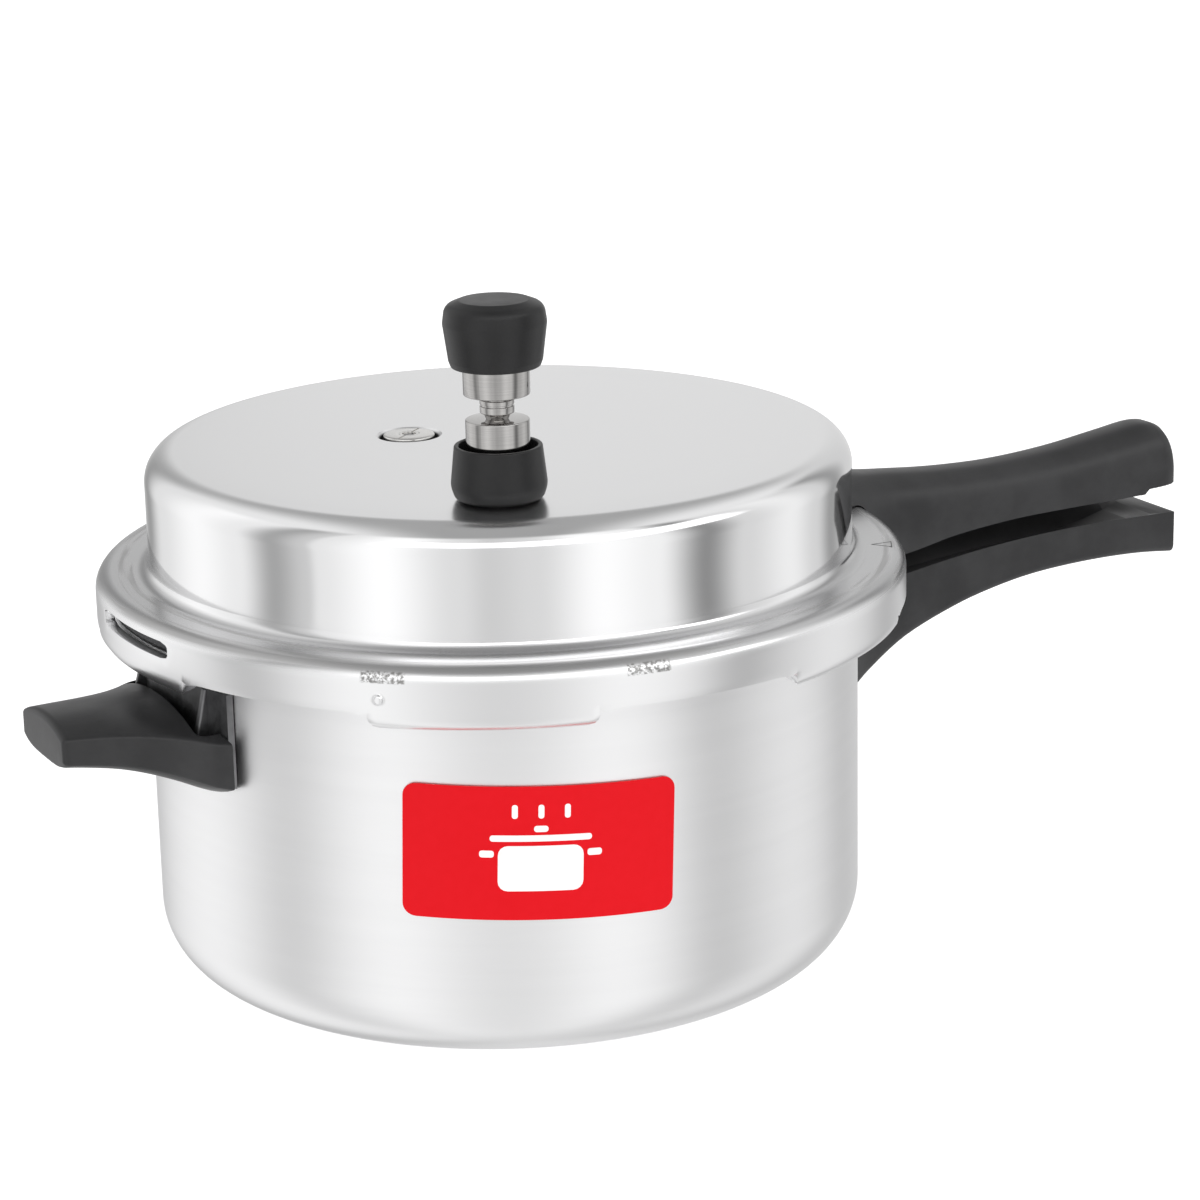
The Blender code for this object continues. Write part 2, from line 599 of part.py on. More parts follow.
def lid_handle():
    outside = between(placed([
        (-4.5, 22.0, 2.5, -0.5, -0.5, 10.5),
        (4.5, 19.4, 1.5, -6.5, -6.5, 9.1),
        (15.5, 17.0, -0.9, -18.5, -18.5, 7.9),
        (23.5, 15.6, -2.5, -20.5, -20.5, 6.9),
        (33.5, 14.6, -4.5, -20.3, -20.3, 6.1),
        (53.5, 13.4, -5.7, -17.3, -17.3, 4.3),
        (77.5, 12.8, -5.5, -15.3, -15.3, 3.7),
        (101.5, 13.0, -3.5, -14.7, -14.7, 5.1),
        (123.5, 13.8, -0.9, -14.5, -14.5, 7.9),
        (136.5, 14.2, 0.3, -14.1, -14.1, 9.7),
        (HANDLE_LENGTH - 3.5, 13.6, -2.5, -12.9, -12.9, 6.1),
        (HANDLE_LENGTH, 12.2, -6.5, -12.3, -12.3, -0.5),
    ], FLANGE_TOP), 2)
    handle = loft("lid_handle", outside, PHENOLIC)
    channel = between(placed([
        (46.5, 9.4, -8.5, -34.5, -34.5, -0.9),
        (77.5, 12.8 - HANDLE_SHELL, -7.5, -34.5, -34.5, -0.9),
        (101.5, 13.0 - HANDLE_SHELL, -5.9, -34.5, -34.5, 0.5),
        (123.5, 13.8 - HANDLE_SHELL, -4.9, -34.5, -34.5, 2.9),
        (137.5, 9.6, -5.9, -34.5, -34.5, 1.9),
    ], FLANGE_TOP), 2)
    combine(handle, loft("lid_handle_channel", channel))
    # The root is hollowed to sit over the lid's flange and against its bracket.
    foot = DOME_FOOT_FILLET
    face = DOME_RADIUS + GAP + PLATE + GAP
    reached = 180 + degrees(acos((DOME_RADIUS + foot - face) / (foot - GAP)))
    profile = [(0.0, LID_TOP + 5), (face, LID_TOP + 5)]
    profile += arc(DOME_RADIUS + foot, FLANGE_TOP + foot, foot - GAP, reached, 270, 4)
    profile += arc(SKIRT_RADIUS - SKIRT_SHOULDER, FLANGE_TOP - SKIRT_SHOULDER, SKIRT_SHOULDER + GAP * 1.5,
                   90, 0, 6)
    profile += [(SKIRT_RADIUS + GAP * 1.5, FLANGE_TOP - 35), (0.0, FLANGE_TOP - 35)]
    combine(handle, turned("lid_handle_seat", profile))
    for index, (angle, z) in enumerate(LID_RIVETS):
        relief = rod(f"lid_handle_relief_{index}", RIVET_HEAD + 0.8,
                     radial(angle, face - 3, z), radial(angle, face + RIVET_HEAD_HEIGHT + 0.6, z))
        combine(handle, relief)
    half, low, end = LID_TONGUE
    cut_tongue(handle, "lid_handle_slot", 0, half, low, DOME_RADIUS, end)
    combine(handle, blocks("lid_handle_mouth", [
        ((DOME_RADIUS, -half - GAP, low - 5), (SKIRT_RADIUS + 2, half + GAP, low + 1), 0),
    ]))
    cut_screw(handle, "lid_screw", LID_SCREW, *LID_SCREW_SPAN, FLANGE_TOP - 30)
    return handle


# ---------------------------------------------------------------- valve, plug and their nuts

VENT = radial(VENT_AZIMUTH, VENT_DISTANCE, LID_TOP + 0.3)
PLUG = (PLUG_X, PLUG_Y, LID_TOP - PLUG_RECESS + DOME_CROWN)
UNDER_LID = -LID_SHEET - GAP - 0.2


def nut(name, place, top, radius, bore, finish):
    """A hexagonal nut, bored, below a lid fitting."""
    x, y, z = place
    made = rod(name, radius, (x, y, z + top - NUT_HEIGHT), (x, y, z + top), finish, sides=6)
    return combine(made, rod(name + "_bore", bore + HOLE_PLAY, (x, y, z + top - NUT_HEIGHT - 3),
                             (x, y, z + top + 3)))


def washer(name, place, top, outer, bore):
    inner = bore + HOLE_PLAY
    low = top - WASHER_HEIGHT
    return turned(name, [(inner, top), (outer, top), (outer, low), (inner, low)], RUBBER,
                  steps=SMALL_STEPS, closed=True, centre=place)


def vent_tube():
    hex_low = GAP + 0.15
    hex_high = hex_low + VENT_HEX_HEIGHT
    end = UNDER_LID - WASHER_HEIGHT - NUT_HEIGHT - 2.4
    tube = turned("vent_tube", [
        (VENT_BORE, VENT_HEIGHT), (VENT_OUTER - 1.2, VENT_HEIGHT), (VENT_OUTER, VENT_HEIGHT - 1.2),
        (VENT_OUTER, hex_high), (VENT_HEX * 0.86, hex_high), (VENT_HEX, hex_high - 0.8),
        (VENT_HEX, hex_low), (VENT_THREAD, hex_low), (VENT_THREAD, end + 0.8),
        (VENT_THREAD - 0.8, end), (VENT_BORE, end),
    ], STEEL, steps=SMALL_STEPS, closed=True, centre=VENT)
    return tube


def weight_skirt():
    core_play = CORE_LOW_RADIUS + GAP
    rim_inner = SKIRT_CUP_RIM - 1.5
    mouth = VENT_HEX + 1.6
    foot = 0.45
    profile = [(rim_inner, SKIRT_CUP_HEIGHT), (SKIRT_CUP_RIM - 0.4, SKIRT_CUP_HEIGHT)]
    profile += [(SKIRT_CUP_RIM, SKIRT_CUP_HEIGHT - 0.5), (SKIRT_CUP_RADIUS - 0.35, 10.0)]
    profile += [(SKIRT_CUP_RADIUS, 4.7)]
    profile += arc(SKIRT_CUP_RADIUS - 2.6, foot + 2.6, 2.6, 10, -90, 5)
    profile += [(mouth, foot), (mouth, SKIRT_CUP_LEDGE), (core_play, SKIRT_CUP_LEDGE)]
    profile += [(core_play, 12.0), (rim_inner, 13.0)]
    return turned("weight_skirt", profile, PHENOLIC, steps=SMALL_STEPS, closed=True, centre=VENT)


def weight_core():
    low = SKIRT_CUP_LEDGE + GAP
    ring_low = CORE_LOW_TOP + 1.6
    ring = CORE_RING_RADIUS
    middle = (ring_low + CORE_HIGH_BOTTOM) / 2
    profile = [(0.0, CORE_STUD_TOP), (CORE_STUD_RADIUS - 0.6, CORE_STUD_TOP)]
    profile += [(CORE_STUD_RADIUS, CORE_STUD_TOP - 0.6), (CORE_STUD_RADIUS, CORE_HIGH_TOP)]
    profile += [(CORE_HIGH_RADIUS - 0.5, CORE_HIGH_TOP), (CORE_HIGH_RADIUS, CORE_HIGH_TOP - 0.5)]
    profile += [(CORE_HIGH_RADIUS, CORE_HIGH_BOTTOM + 0.6), (CORE_HIGH_RADIUS - 0.6, CORE_HIGH_BOTTOM)]
    profile += [(ring, CORE_HIGH_BOTTOM), (ring, middle + 0.7), (ring - 0.9, middle + 0.3)]
    profile += [(ring - 0.9, middle - 0.3), (ring, middle - 0.7), (ring, ring_low)]
    profile += [(CORE_NECK_RADIUS, ring_low), (CORE_NECK_RADIUS, CORE_LOW_TOP)]
    profile += [(CORE_LOW_RADIUS - 0.6, CORE_LOW_TOP), (CORE_LOW_RADIUS, CORE_LOW_TOP - 0.6)]
    profile += [(CORE_LOW_RADIUS, low + 0.4), (CORE_LOW_RADIUS - 0.4, low)]
    # The seat fits over the vent tube, with a groove for the clip.
    bore = VENT_OUTER + 0.5
    clip = VENT_OUTER + 3.0
    profile += [(clip, low), (clip, low + 2.6), (bore, low + 2.6)]
    profile += [(bore, VENT_HEIGHT - 1.0), (bore - 1.6, VENT_HEIGHT + GAP)]
    profile += [(VENT_BORE * 0.9, VENT_HEIGHT + GAP), (0.0, VENT_HEIGHT - 1.0)]
    return turned("weight_core", profile, STEEL, steps=SMALL_STEPS, centre=VENT)


def weight_clip():
    low = SKIRT_CUP_LEDGE + GAP * 2
    inner = VENT_OUTER + GAP
    outer = VENT_OUTER + 2.4
    profile = [(inner, low + 1.4), (outer, low + 1.4), (outer, low), (inner, low)]
    ring = turned("weight_clip", profile, STEEL, steps=SMALL_STEPS, closed=True, centre=VENT)
    opening = blocks("weight_clip_opening", [((0.0, -1.6, low - 2), (outer + 2, 1.6, low + 4), 0.0)])
    opening.location = Vector((VENT[0], VENT[1], VENT[2])) * MM
    return combine(ring, opening)


def weight_knob():
    foot = CORE_HIGH_TOP + GAP
    socket = CORE_STUD_RADIUS + GAP
    round_off = 3.6
    profile = [(0.0, KNOB_TOP)]
    profile += [(KNOB_TOP_RADIUS, KNOB_TOP)]
    profile += arc(KNOB_RADIUS - round_off, KNOB_TOP - round_off - 0.6, round_off, 68, 8, 6)
    profile += [(KNOB_RADIUS, KNOB_WIDEST), (KNOB_RADIUS - 0.25, KNOB_WIDEST - 4.0)]
    profile += [(KNOB_FOOT_RADIUS + 0.35, foot + 2.0), (KNOB_FOOT_RADIUS - 0.5, foot)]
    profile += [(socket, foot), (socket, CORE_STUD_TOP + GAP), (0.0, CORE_STUD_TOP + GAP)]
    return turned("weight_knob", profile, PHENOLIC, steps=SMALL_STEPS, centre=VENT)


def safety_plug():
    head_low = GAP
    head_high = head_low + 1.2
    end = -PLUG_LENGTH
    bore = FUSE_RADIUS + GAP
    body = turned("safety_plug_body", [
        (bore, head_high), (PLUG_HEAD - 0.5, head_high), (PLUG_HEAD, head_high - 0.5),
        (PLUG_HEAD, head_low), (PLUG_SHANK, head_low), (PLUG_SHANK, end), (bore, end),
    ], BRASS, steps=SMALL_STEPS, closed=True, centre=PLUG)
    driver_slot = blocks("plug_driver_slot", [
        ((-PLUG_HEAD - 2, -0.8, head_high - 0.6), (PLUG_HEAD + 2, 0.8, head_high + 3), 0.0),
    ])
    driver_slot.location = Vector(PLUG) * MM
    driver_slot.rotation_euler = (0, 0, radians(VENT_AZIMUTH - 25))
    combine(body, driver_slot)
    fuse_high = head_high - 0.3
    turned("safety_plug_fuse", [
        (0.0, fuse_high), (FUSE_RADIUS - 0.3, fuse_high), (FUSE_RADIUS, fuse_high - 0.3),
        (FUSE_RADIUS, end + 1), (0.0, end + 1),
    ], FUSIBLE, steps=SMALL_STEPS, centre=PLUG)
    sheet_under = UNDER_LID + PLUG_RECESS - 0.2
    washer("safety_plug_washer", PLUG, sheet_under, PLUG_SHANK + 4.2, PLUG_SHANK)
    nut("safety_plug_nut", PLUG, sheet_under - WASHER_HEIGHT - GAP, PLUG_SHANK + 4.0, PLUG_SHANK, BRASS)


# ---------------------------------------------------------------- assembly

def main():
    pot_body()
    label()
    bracket("pot_bracket", 0, POT_RADIUS, 23.0, POT_HEIGHT - 57.2, BRACKET_TOP, POT_TONGUE, POT_RIVETS,
            POT_SCREW)
    bracket("helper_bracket", 180, POT_RADIUS, 36.5, POT_HEIGHT - 42.8, BRACKET_TOP, HELPER_TONGUE,
            HELPER_RIVETS, HELPER_SCREW)
    wall = (POT_RADIUS - POT_WALL, PLATE_OUTER)
    for index, (angle, z) in enumerate(POT_RIVETS):
        radial_rivet(f"pot_rivet_{index + 1}", angle, z, *wall, SATIN)
        combine(bpy.data.objects["pot_body"], rivet_hole(f"pot_wall_hole_{index}", angle, z, *wall))
    for index, (angle, z) in enumerate(HELPER_RIVETS):
        radial_rivet(f"helper_rivet_{index + 1}", 180 + angle, z, *wall, SATIN)
        hole = rivet_hole(f"helper_wall_hole_{index}", 180 + angle, z, *wall)
        combine(bpy.data.objects["pot_body"], hole)
    pot_handle()
    helper_handle()
    screw_up("pot_handle_screw", POT_SCREW, *POT_SCREW_SPAN)
    screw_up("helper_handle_screw", HELPER_SCREW, *HELPER_SCREW_SPAN)

    lid = lid_shell()
    gasket()
    plate = bracket("lid_bracket", 0, DOME_RADIUS, 16.0, LID_TONGUE[1], LID_RIVETS[0][1] + 6.5,
                    LID_TONGUE, LID_RIVETS, LID_SCREW)
    foot = DOME_FOOT_FILLET
    envelope = [(0.0, LID_TOP - 20), (DOME_RADIUS + GAP, LID_TOP - 20)]
    envelope += arc(DOME_RADIUS + foot, FLANGE_TOP + foot, foot - GAP, 180, 270, 6)
    envelope += [(SKIRT_RADIUS - SKIRT_SHOULDER, FLANGE_TOP + GAP)]
    envelope += [(SKIRT_RADIUS, FLANGE_TOP - 8), (0.0, FLANGE_TOP - 8)]
    combine(plate, turned("lid_envelope", envelope))
    wall = (DOME_RADIUS - LID_SHEET, DOME_RADIUS + GAP + PLATE)
    for index, (angle, z) in enumerate(LID_RIVETS):
        radial_rivet(f"lid_rivet_{index + 1}", angle, z, *wall, SATIN)
        combine(lid, rivet_hole(f"lid_wall_hole_{index}", angle, z, *wall))
    lid_handle()
    screw_up("lid_handle_screw", LID_SCREW, *LID_SCREW_SPAN)

    vent_tube()
    washer("vent_washer", VENT, UNDER_LID, VENT_THREAD + 4.0, VENT_THREAD)
    nut("vent_nut", VENT, UNDER_LID - WASHER_HEIGHT - GAP, VENT_THREAD + 3.6, VENT_THREAD, STEEL)
    safety_plug()
    weight_skirt()
    weight_core()
    weight_clip()
    weight_knob()


main()
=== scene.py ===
import json
from math import acos, atan2, cos, degrees, hypot, pi, radians, sin, tan

import bmesh
import bpy
from mathutils import Matrix, Vector

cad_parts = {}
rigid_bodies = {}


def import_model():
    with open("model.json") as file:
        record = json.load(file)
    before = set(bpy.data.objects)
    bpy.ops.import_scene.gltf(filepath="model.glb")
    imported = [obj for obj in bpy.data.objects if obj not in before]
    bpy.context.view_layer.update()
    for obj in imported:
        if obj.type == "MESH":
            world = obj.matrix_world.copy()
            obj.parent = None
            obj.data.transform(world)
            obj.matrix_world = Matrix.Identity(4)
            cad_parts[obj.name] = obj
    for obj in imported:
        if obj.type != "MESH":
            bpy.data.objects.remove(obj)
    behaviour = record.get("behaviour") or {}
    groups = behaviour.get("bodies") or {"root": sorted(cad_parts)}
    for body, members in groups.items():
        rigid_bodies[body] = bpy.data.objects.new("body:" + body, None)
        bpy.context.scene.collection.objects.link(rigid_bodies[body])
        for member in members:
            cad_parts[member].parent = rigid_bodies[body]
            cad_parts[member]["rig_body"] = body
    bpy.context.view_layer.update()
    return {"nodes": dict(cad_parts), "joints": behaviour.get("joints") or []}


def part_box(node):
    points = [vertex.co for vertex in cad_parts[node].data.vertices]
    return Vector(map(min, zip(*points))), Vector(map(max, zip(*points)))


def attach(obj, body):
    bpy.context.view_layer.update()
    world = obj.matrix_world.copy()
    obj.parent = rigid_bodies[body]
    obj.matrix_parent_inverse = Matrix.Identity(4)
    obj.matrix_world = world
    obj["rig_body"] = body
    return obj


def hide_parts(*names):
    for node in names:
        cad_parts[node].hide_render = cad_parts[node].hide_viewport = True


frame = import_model()

MM = 0.001
PLAY = 0.35          # clearance between fitted pieces


def edge(node, side, axis):
    """The lowest (0) or highest (1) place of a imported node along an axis, in millimetres."""
    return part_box(node)[side]["xyz".index(axis)] / MM


def middle(node):
    low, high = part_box(node)
    return tuple((low + high) / 2 / MM)


# Sizes in millimetres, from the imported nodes.
RIM = edge("pot_body", 1, "z")
LUG_REACH = edge("pot_body", 1, "x")
WALL = LUG_REACH - 11.0
WALL_SHEET = 3.0
BASE_SHEET = 4.0
BASE_ROUND = 22.0
COLLAR = WALL + 2.5
LUG_UNDER = RIM - 5.3
SKIRT = edge("lid_shell", 1, "y")
LID_TOP = edge("lid_shell", 1, "z") - 0.9
LUG_LOW = edge("lid_shell", 0, "z")
LID_SHEET = 3.2
DOME = 114.8
FLANGE = LID_TOP - 38.0
SKIRT_LOW = LUG_LOW + 5.4
LUG_PITCH = 60
LUG_FIRST = 1
POT_LUG_HALF = 12.5  # degrees each way from a lug's middle
LID_LUG_HALF = 15
LIP_EDGE = 127.0     # radius between a lug's turned-in lip and the skirt
SKIRT_WALL = 131.0   # radius beyond which there is only the skirt's outside
SLOT_FACING = 182.5  # azimuth of the release slot, in degrees
SLOT_HALF = 10.5
SLOT_LOW = 125.0
SLOT_HIGH = 130.3
PIP_FACING = -132.5
LABEL_FACING = -111.5
LABEL_TILT = -2.0
PLATE_FACE = WALL + PLAY + 2.0 + PLAY
HANDLE_END = edge("pot_handle", 1, "x")
joints = {joint["name"]: joint for joint in frame["joints"]}
VENT = tuple(value / MM for value in joints["weight_spin"]["pos_m"])
PLUG_X, PLUG_Y, _ = middle("safety_plug_fuse")
PLUG_HEAD = edge("safety_plug_body", 1, "z")


# ---------------------------------------------------------------- hand tools

def only(piece):
    bpy.ops.object.select_all(action="DESELECT")
    piece.select_set(True)
    bpy.context.view_layer.objects.active = piece


def edit(piece):
    only(piece)
    bpy.ops.object.mode_set(mode="EDIT")


def done():
    bpy.ops.object.mode_set(mode="OBJECT")
    bpy.ops.object.transform_apply(location=True, rotation=True, scale=True)


def pick(kind, test):
    """Selects the verts, edges or faces of the piece in hand whose middle passes the test."""
    bpy.ops.mesh.select_mode(type={"verts": "VERT", "edges": "EDGE", "faces": "FACE"}[kind])
    bpy.ops.mesh.select_all(action="DESELECT")
    piece = bpy.context.object
    mesh = bmesh.from_edit_mesh(piece.data)
    world = piece.matrix_world
    found = 0
    for item in getattr(mesh, kind):
        if kind == "verts":
            chosen = test(world @ item.co / MM)
        elif kind == "edges":
            chosen = test(*(world @ vert.co / MM for vert in item.verts))
        else:
            chosen = test(world @ item.calc_center_median() / MM, item.normal)
        if chosen:
            item.select_set(True)
            found += 1
    mesh.select_flush_mode()
    bmesh.update_edit_mesh(piece.data)
    return found


def move(x=0.0, y=0.0, z=0.0):
    bpy.ops.transform.translate(value=(x * MM, y * MM, z * MM))


def close_up():
    """Joins doubled points and turns every face outwards."""
    bpy.ops.mesh.select_all(action="SELECT")
    bpy.ops.mesh.remove_doubles(threshold=0.000002)
    bpy.ops.mesh.normals_make_consistent(inside=False)


def arc(x, z, radius, start, end, count=8):
    return [
        (x + radius * cos(radians(start + (end - start) * step / count)),
         z + radius * sin(radians(start + (end - start) * step / count)))
        for step in range(count + 1)
    ]


def rounded(corners, count=5):
    """The points of a section whose corners are (radius, height, rounding)."""
    points = []
    for index, (x, z, size) in enumerate(corners):
        here = Vector((x, z))
        if not size:
            points.append((x, z))
            continue
        back = (Vector(corners[index - 1][:2]) - here).normalized()
        onward = (Vector(corners[(index + 1) % len(corners)][:2]) - here).normalized()
        half = back.angle(onward) / 2
        centre = here + (back + onward).normalized() * size / sin(half)
        first = here + back * size / tan(half) - centre
        last = here + onward * size / tan(half) - centre
        start = atan2(first.y, first.x)
        turn = (atan2(last.y, last.x) - start + pi) % (2 * pi) - pi
        points += arc(centre.x, centre.y, size, degrees(start), degrees(start + turn), count)
    return points


def drawn_line(name, points):
    """A line drawn point by point, left open for editing with all of it selected."""
    bpy.ops.object.select_all(action="DESELECT")
    bpy.ops.mesh.primitive_plane_add(size=MM, location=points[0])
    piece = bpy.context.object
    piece.name = name
    bpy.ops.object.mode_set(mode="EDIT")
    bpy.ops.mesh.select_mode(type="VERT")
    bpy.ops.mesh.select_all(action="SELECT")
    bpy.ops.mesh.merge(type="CENTER")
    for near, far in zip(points, points[1:]):
        bpy.ops.mesh.extrude_vertices_move(TRANSFORM_OT_translate={"value": far - near})
    bpy.ops.mesh.select_all(action="SELECT")
    return piece


def spun(name, section, steps=240, place=(0.0, 0.0, 0.0), closed=False):
    """A section of (radius, height) drawn point by point and spun about the upright axis at place."""
    points = [(Vector(place) + Vector((x, 0, z))) * MM for x, z in section]
    if closed:
        points.append(points[0])
    piece = drawn_line(name, points)
    bpy.ops.mesh.spin(steps=steps, angle=2 * pi, center=Vector(place) * MM, axis=(0, 0, 1))
    close_up()
    done()
    return piece


def arch(shoulder, power, count):
    """A closed outline across a bar, -1 to 1 wide and 0 to 1 high: an arch on upright sides."""
    points = []
    for step in range(count + 1):
        turn = pi * step / count
        across = abs(cos(turn)) ** power * (-1 if cos(turn) > 0 else 1)
        points.append((across, shoulder + (1 - shoulder) * sin(turn)))
    return points + [(1.0, 0.0), (-1.0, 0.0)]


def drawn_out(name, stations, outline, side=1):
    """A bar whose outline is extruded and resized from one (x, half width, top, underside) to the next."""
    x, half, top, low = stations[0]
    corners = [Vector((side * x, across * half, low + up * (top - low))) * MM for across, up in outline]
    piece = drawn_line(name, corners)
    bpy.ops.mesh.edge_face_add()
    bpy.ops.mesh.select_mode(type="FACE")
    bpy.ops.mesh.select_all(action="SELECT")
    for (x0, half0, top0, low0), (x1, half1, top1, low1) in zip(stations, stations[1:]):
        rise = (top1 + low1 - top0 - low0) / 2
        bpy.ops.mesh.extrude_region_move(
            TRANSFORM_OT_translate={"value": (side * (x1 - x0) * MM, 0, rise * MM)})
        bpy.ops.transform.resize(
            value=(1, half1 / half0, (top1 - low1) / (top0 - low0)),
            center_override=(side * x1 * MM, 0, (top1 + low1) / 2 * MM))
    close_up()
    done()
    return piece


def smooth_run(stations, count=5):
    """More sections on a smooth curve through the ones given."""
    run = []
    for index in range(len(stations) - 1):
        four = [stations[max(index - 1, 0)], stations[index], stations[index + 1],
                stations[min(index + 2, len(stations) - 1)]]
        for step in range(count):
            t = step / count
            run.append(tuple(
                0.5 * (2 * b + (c - a) * t + (2 * a - 5 * b + 4 * c - d) * t * t
                       + (3 * b - 3 * c + d - a) * t * t * t)
                for a, b, c, d in zip(*four)))
    run.append(stations[-1])
    return run


def box(name, low, high, turn=0.0, round_off=0.0, segments=4):
    """A block between two corners, its edges rounded, turned about the upright axis."""
    size = Vector(high) - Vector(low)
    bpy.ops.object.select_all(action="DESELECT")
    bpy.ops.mesh.primitive_cube_add(size=1.0, location=(Vector(high) + Vector(low)) / 2 * MM)
    piece = bpy.context.object
    piece.name = name
    bpy.ops.object.mode_set(mode="EDIT")
    bpy.ops.mesh.select_mode(type="EDGE")
    bpy.ops.mesh.select_all(action="SELECT")
    bpy.ops.transform.resize(value=size * MM)
    if round_off:
        bpy.ops.mesh.bevel(offset=round_off * MM, segments=segments, affect="EDGES")
    done()
    piece.rotation_euler = (0, 0, radians(turn))
    only(piece)
    bpy.ops.object.transform_apply(location=True, rotation=True, scale=True)
    return piece


def apply(piece, kind, **settings):
    modifier = piece.modifiers.new(kind.lower(), kind)
    for name, value in settings.items():
        setattr(modifier, name, value)
    only(piece)
    bpy.ops.object.modifier_apply(modifier=modifier.name)


def cut(piece, tool, operation="DIFFERENCE"):
    apply(piece, "BOOLEAN", operation=operation, solver="EXACT", object=tool)
    bpy.data.objects.remove(tool)


def soften(piece, width, segments=3, angle=50):
    """Rounds every edge sharper than the angle."""
    apply(piece, "BEVEL", width=width * MM, segments=segments, limit_method="ANGLE",
          angle_limit=radians(angle), miter_outer="MITER_ARC")


def joined(pieces):
    only(pieces[0])
    for piece in pieces[1:]:
        piece.select_set(True)
    bpy.ops.object.join()
    return pieces[0]


def turned_to(piece, rotation, place):
    piece.rotation_euler = rotation
    piece.location = Vector(place) * MM
    only(piece)
    bpy.ops.object.transform_apply(location=True, rotation=True, scale=True)
    return piece


def radial(azimuth, radius, z):
    return (radius * cos(radians(azimuth)), radius * sin(radians(azimuth)), z)


def azimuth_of(point):
    return degrees(atan2(point.y, point.x))


def apart(azimuth, other):
    """The signed angle from one azimuth to another."""
    return (azimuth - other + 180.0) % 360.0 - 180.0


def from_lug(point):
    """The signed angle from the middle of the nearest lug."""
    return (azimuth_of(point) - LUG_FIRST + LUG_PITCH / 2) % LUG_PITCH - LUG_PITCH / 2


def fit(piece, nodes, finish, angle=32):
    """Gives a piece its finish and shading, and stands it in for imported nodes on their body."""
    nodes = [nodes] if isinstance(nodes, str) else nodes
    piece.data.materials.clear()
    piece.data.materials.append(finish)
    only(piece)
    bpy.ops.object.shade_smooth_by_angle(angle=radians(angle))
    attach(piece, frame["nodes"][nodes[0]]["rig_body"])
    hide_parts(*nodes)
    return piece


# ---------------------------------------------------------------- finishes

def new_finish(name, colour, metallic, roughness):
    made = bpy.data.materials.new(name)
    made.use_nodes = True
    shader = made.node_tree.nodes["Principled BSDF"]
    shader.inputs["Base Color"].default_value = (*colour, 1.0)
    shader.inputs["Metallic"].default_value = metallic
    shader.inputs["Roughness"].default_value = roughness
    return made, shader


def put(made, kind, *inputs, out=0, **settings):
    """Adds a node, with its inputs fed in order by sockets or numbers."""
    node = made.node_tree.nodes.new("ShaderNode" + kind)
    for name, value in settings.items():
        setattr(node, name, value)
    for socket, value in zip(node.inputs, inputs):
        if isinstance(value, bpy.types.NodeSocket):
            made.node_tree.links.new(value, socket)
        elif value is not None:
            socket.default_value = value
    return node.outputs[out]


def link(made, source, target):
    made.node_tree.links.new(source, target)


def place_on(made, centre=None):
    """Sockets for the place, x, y, z and the distance from the upright axis at the centre, in metres."""
    where = put(made, "TexCoord", out=3)
    if centre is not None:
        where = put(made, "Mapping", where, tuple(-value * MM for value in centre))
    split = made.node_tree.nodes.new("ShaderNodeSeparateXYZ")
    link(made, where, split.inputs[0])
    x, y, z = split.outputs
    square = put(made, "Math", put(made, "Math", x, x, operation="MULTIPLY"),
                 put(made, "Math", y, y, operation="MULTIPLY"), operation="ADD")
    return where, x, y, z, put(made, "Math", square, operation="SQRT")


def blend_between(made, value, low, high, start=0.0, end=1.0):
    return put(made, "MapRange", value, low, high, start, end, interpolation_type="SMOOTHSTEP")


def spin_marks(made, x, y, z, radius, fine=2200.0, drift=14.0):
    """Fine rings left by the spinning lathe, which drift slowly round the piece."""
    rings = put(made, "CombineXYZ",
                put(made, "Math", radius, fine, operation="MULTIPLY"),
                put(made, "Math", z, fine, operation="MULTIPLY"),
                put(made, "Math", put(made, "Math", x, y, operation="SUBTRACT"), drift,
                    operation="MULTIPLY"))
    return put(made, "TexNoise", rings, None, 1.0, 4.0, 0.62)


def mix_values(made, factor, first, second):
    return put(made, "Mix", factor, None, first, second, data_type="FLOAT")


def mix_colours(made, factor, first, second):
    node = made.node_tree.nodes.new("ShaderNodeMix")
    node.data_type = "RGBA"
    for index, value in ((0, factor), (6, first), (7, second)):
        if isinstance(value, bpy.types.NodeSocket):
            link(made, value, node.inputs[index])
        else:
            node.inputs[index].default_value = value
    return node.outputs[2]


def bump(made, shader, height, strength, distance):
    link(made, put(made, "Bump", strength, distance, None, height), shader.inputs["Normal"])


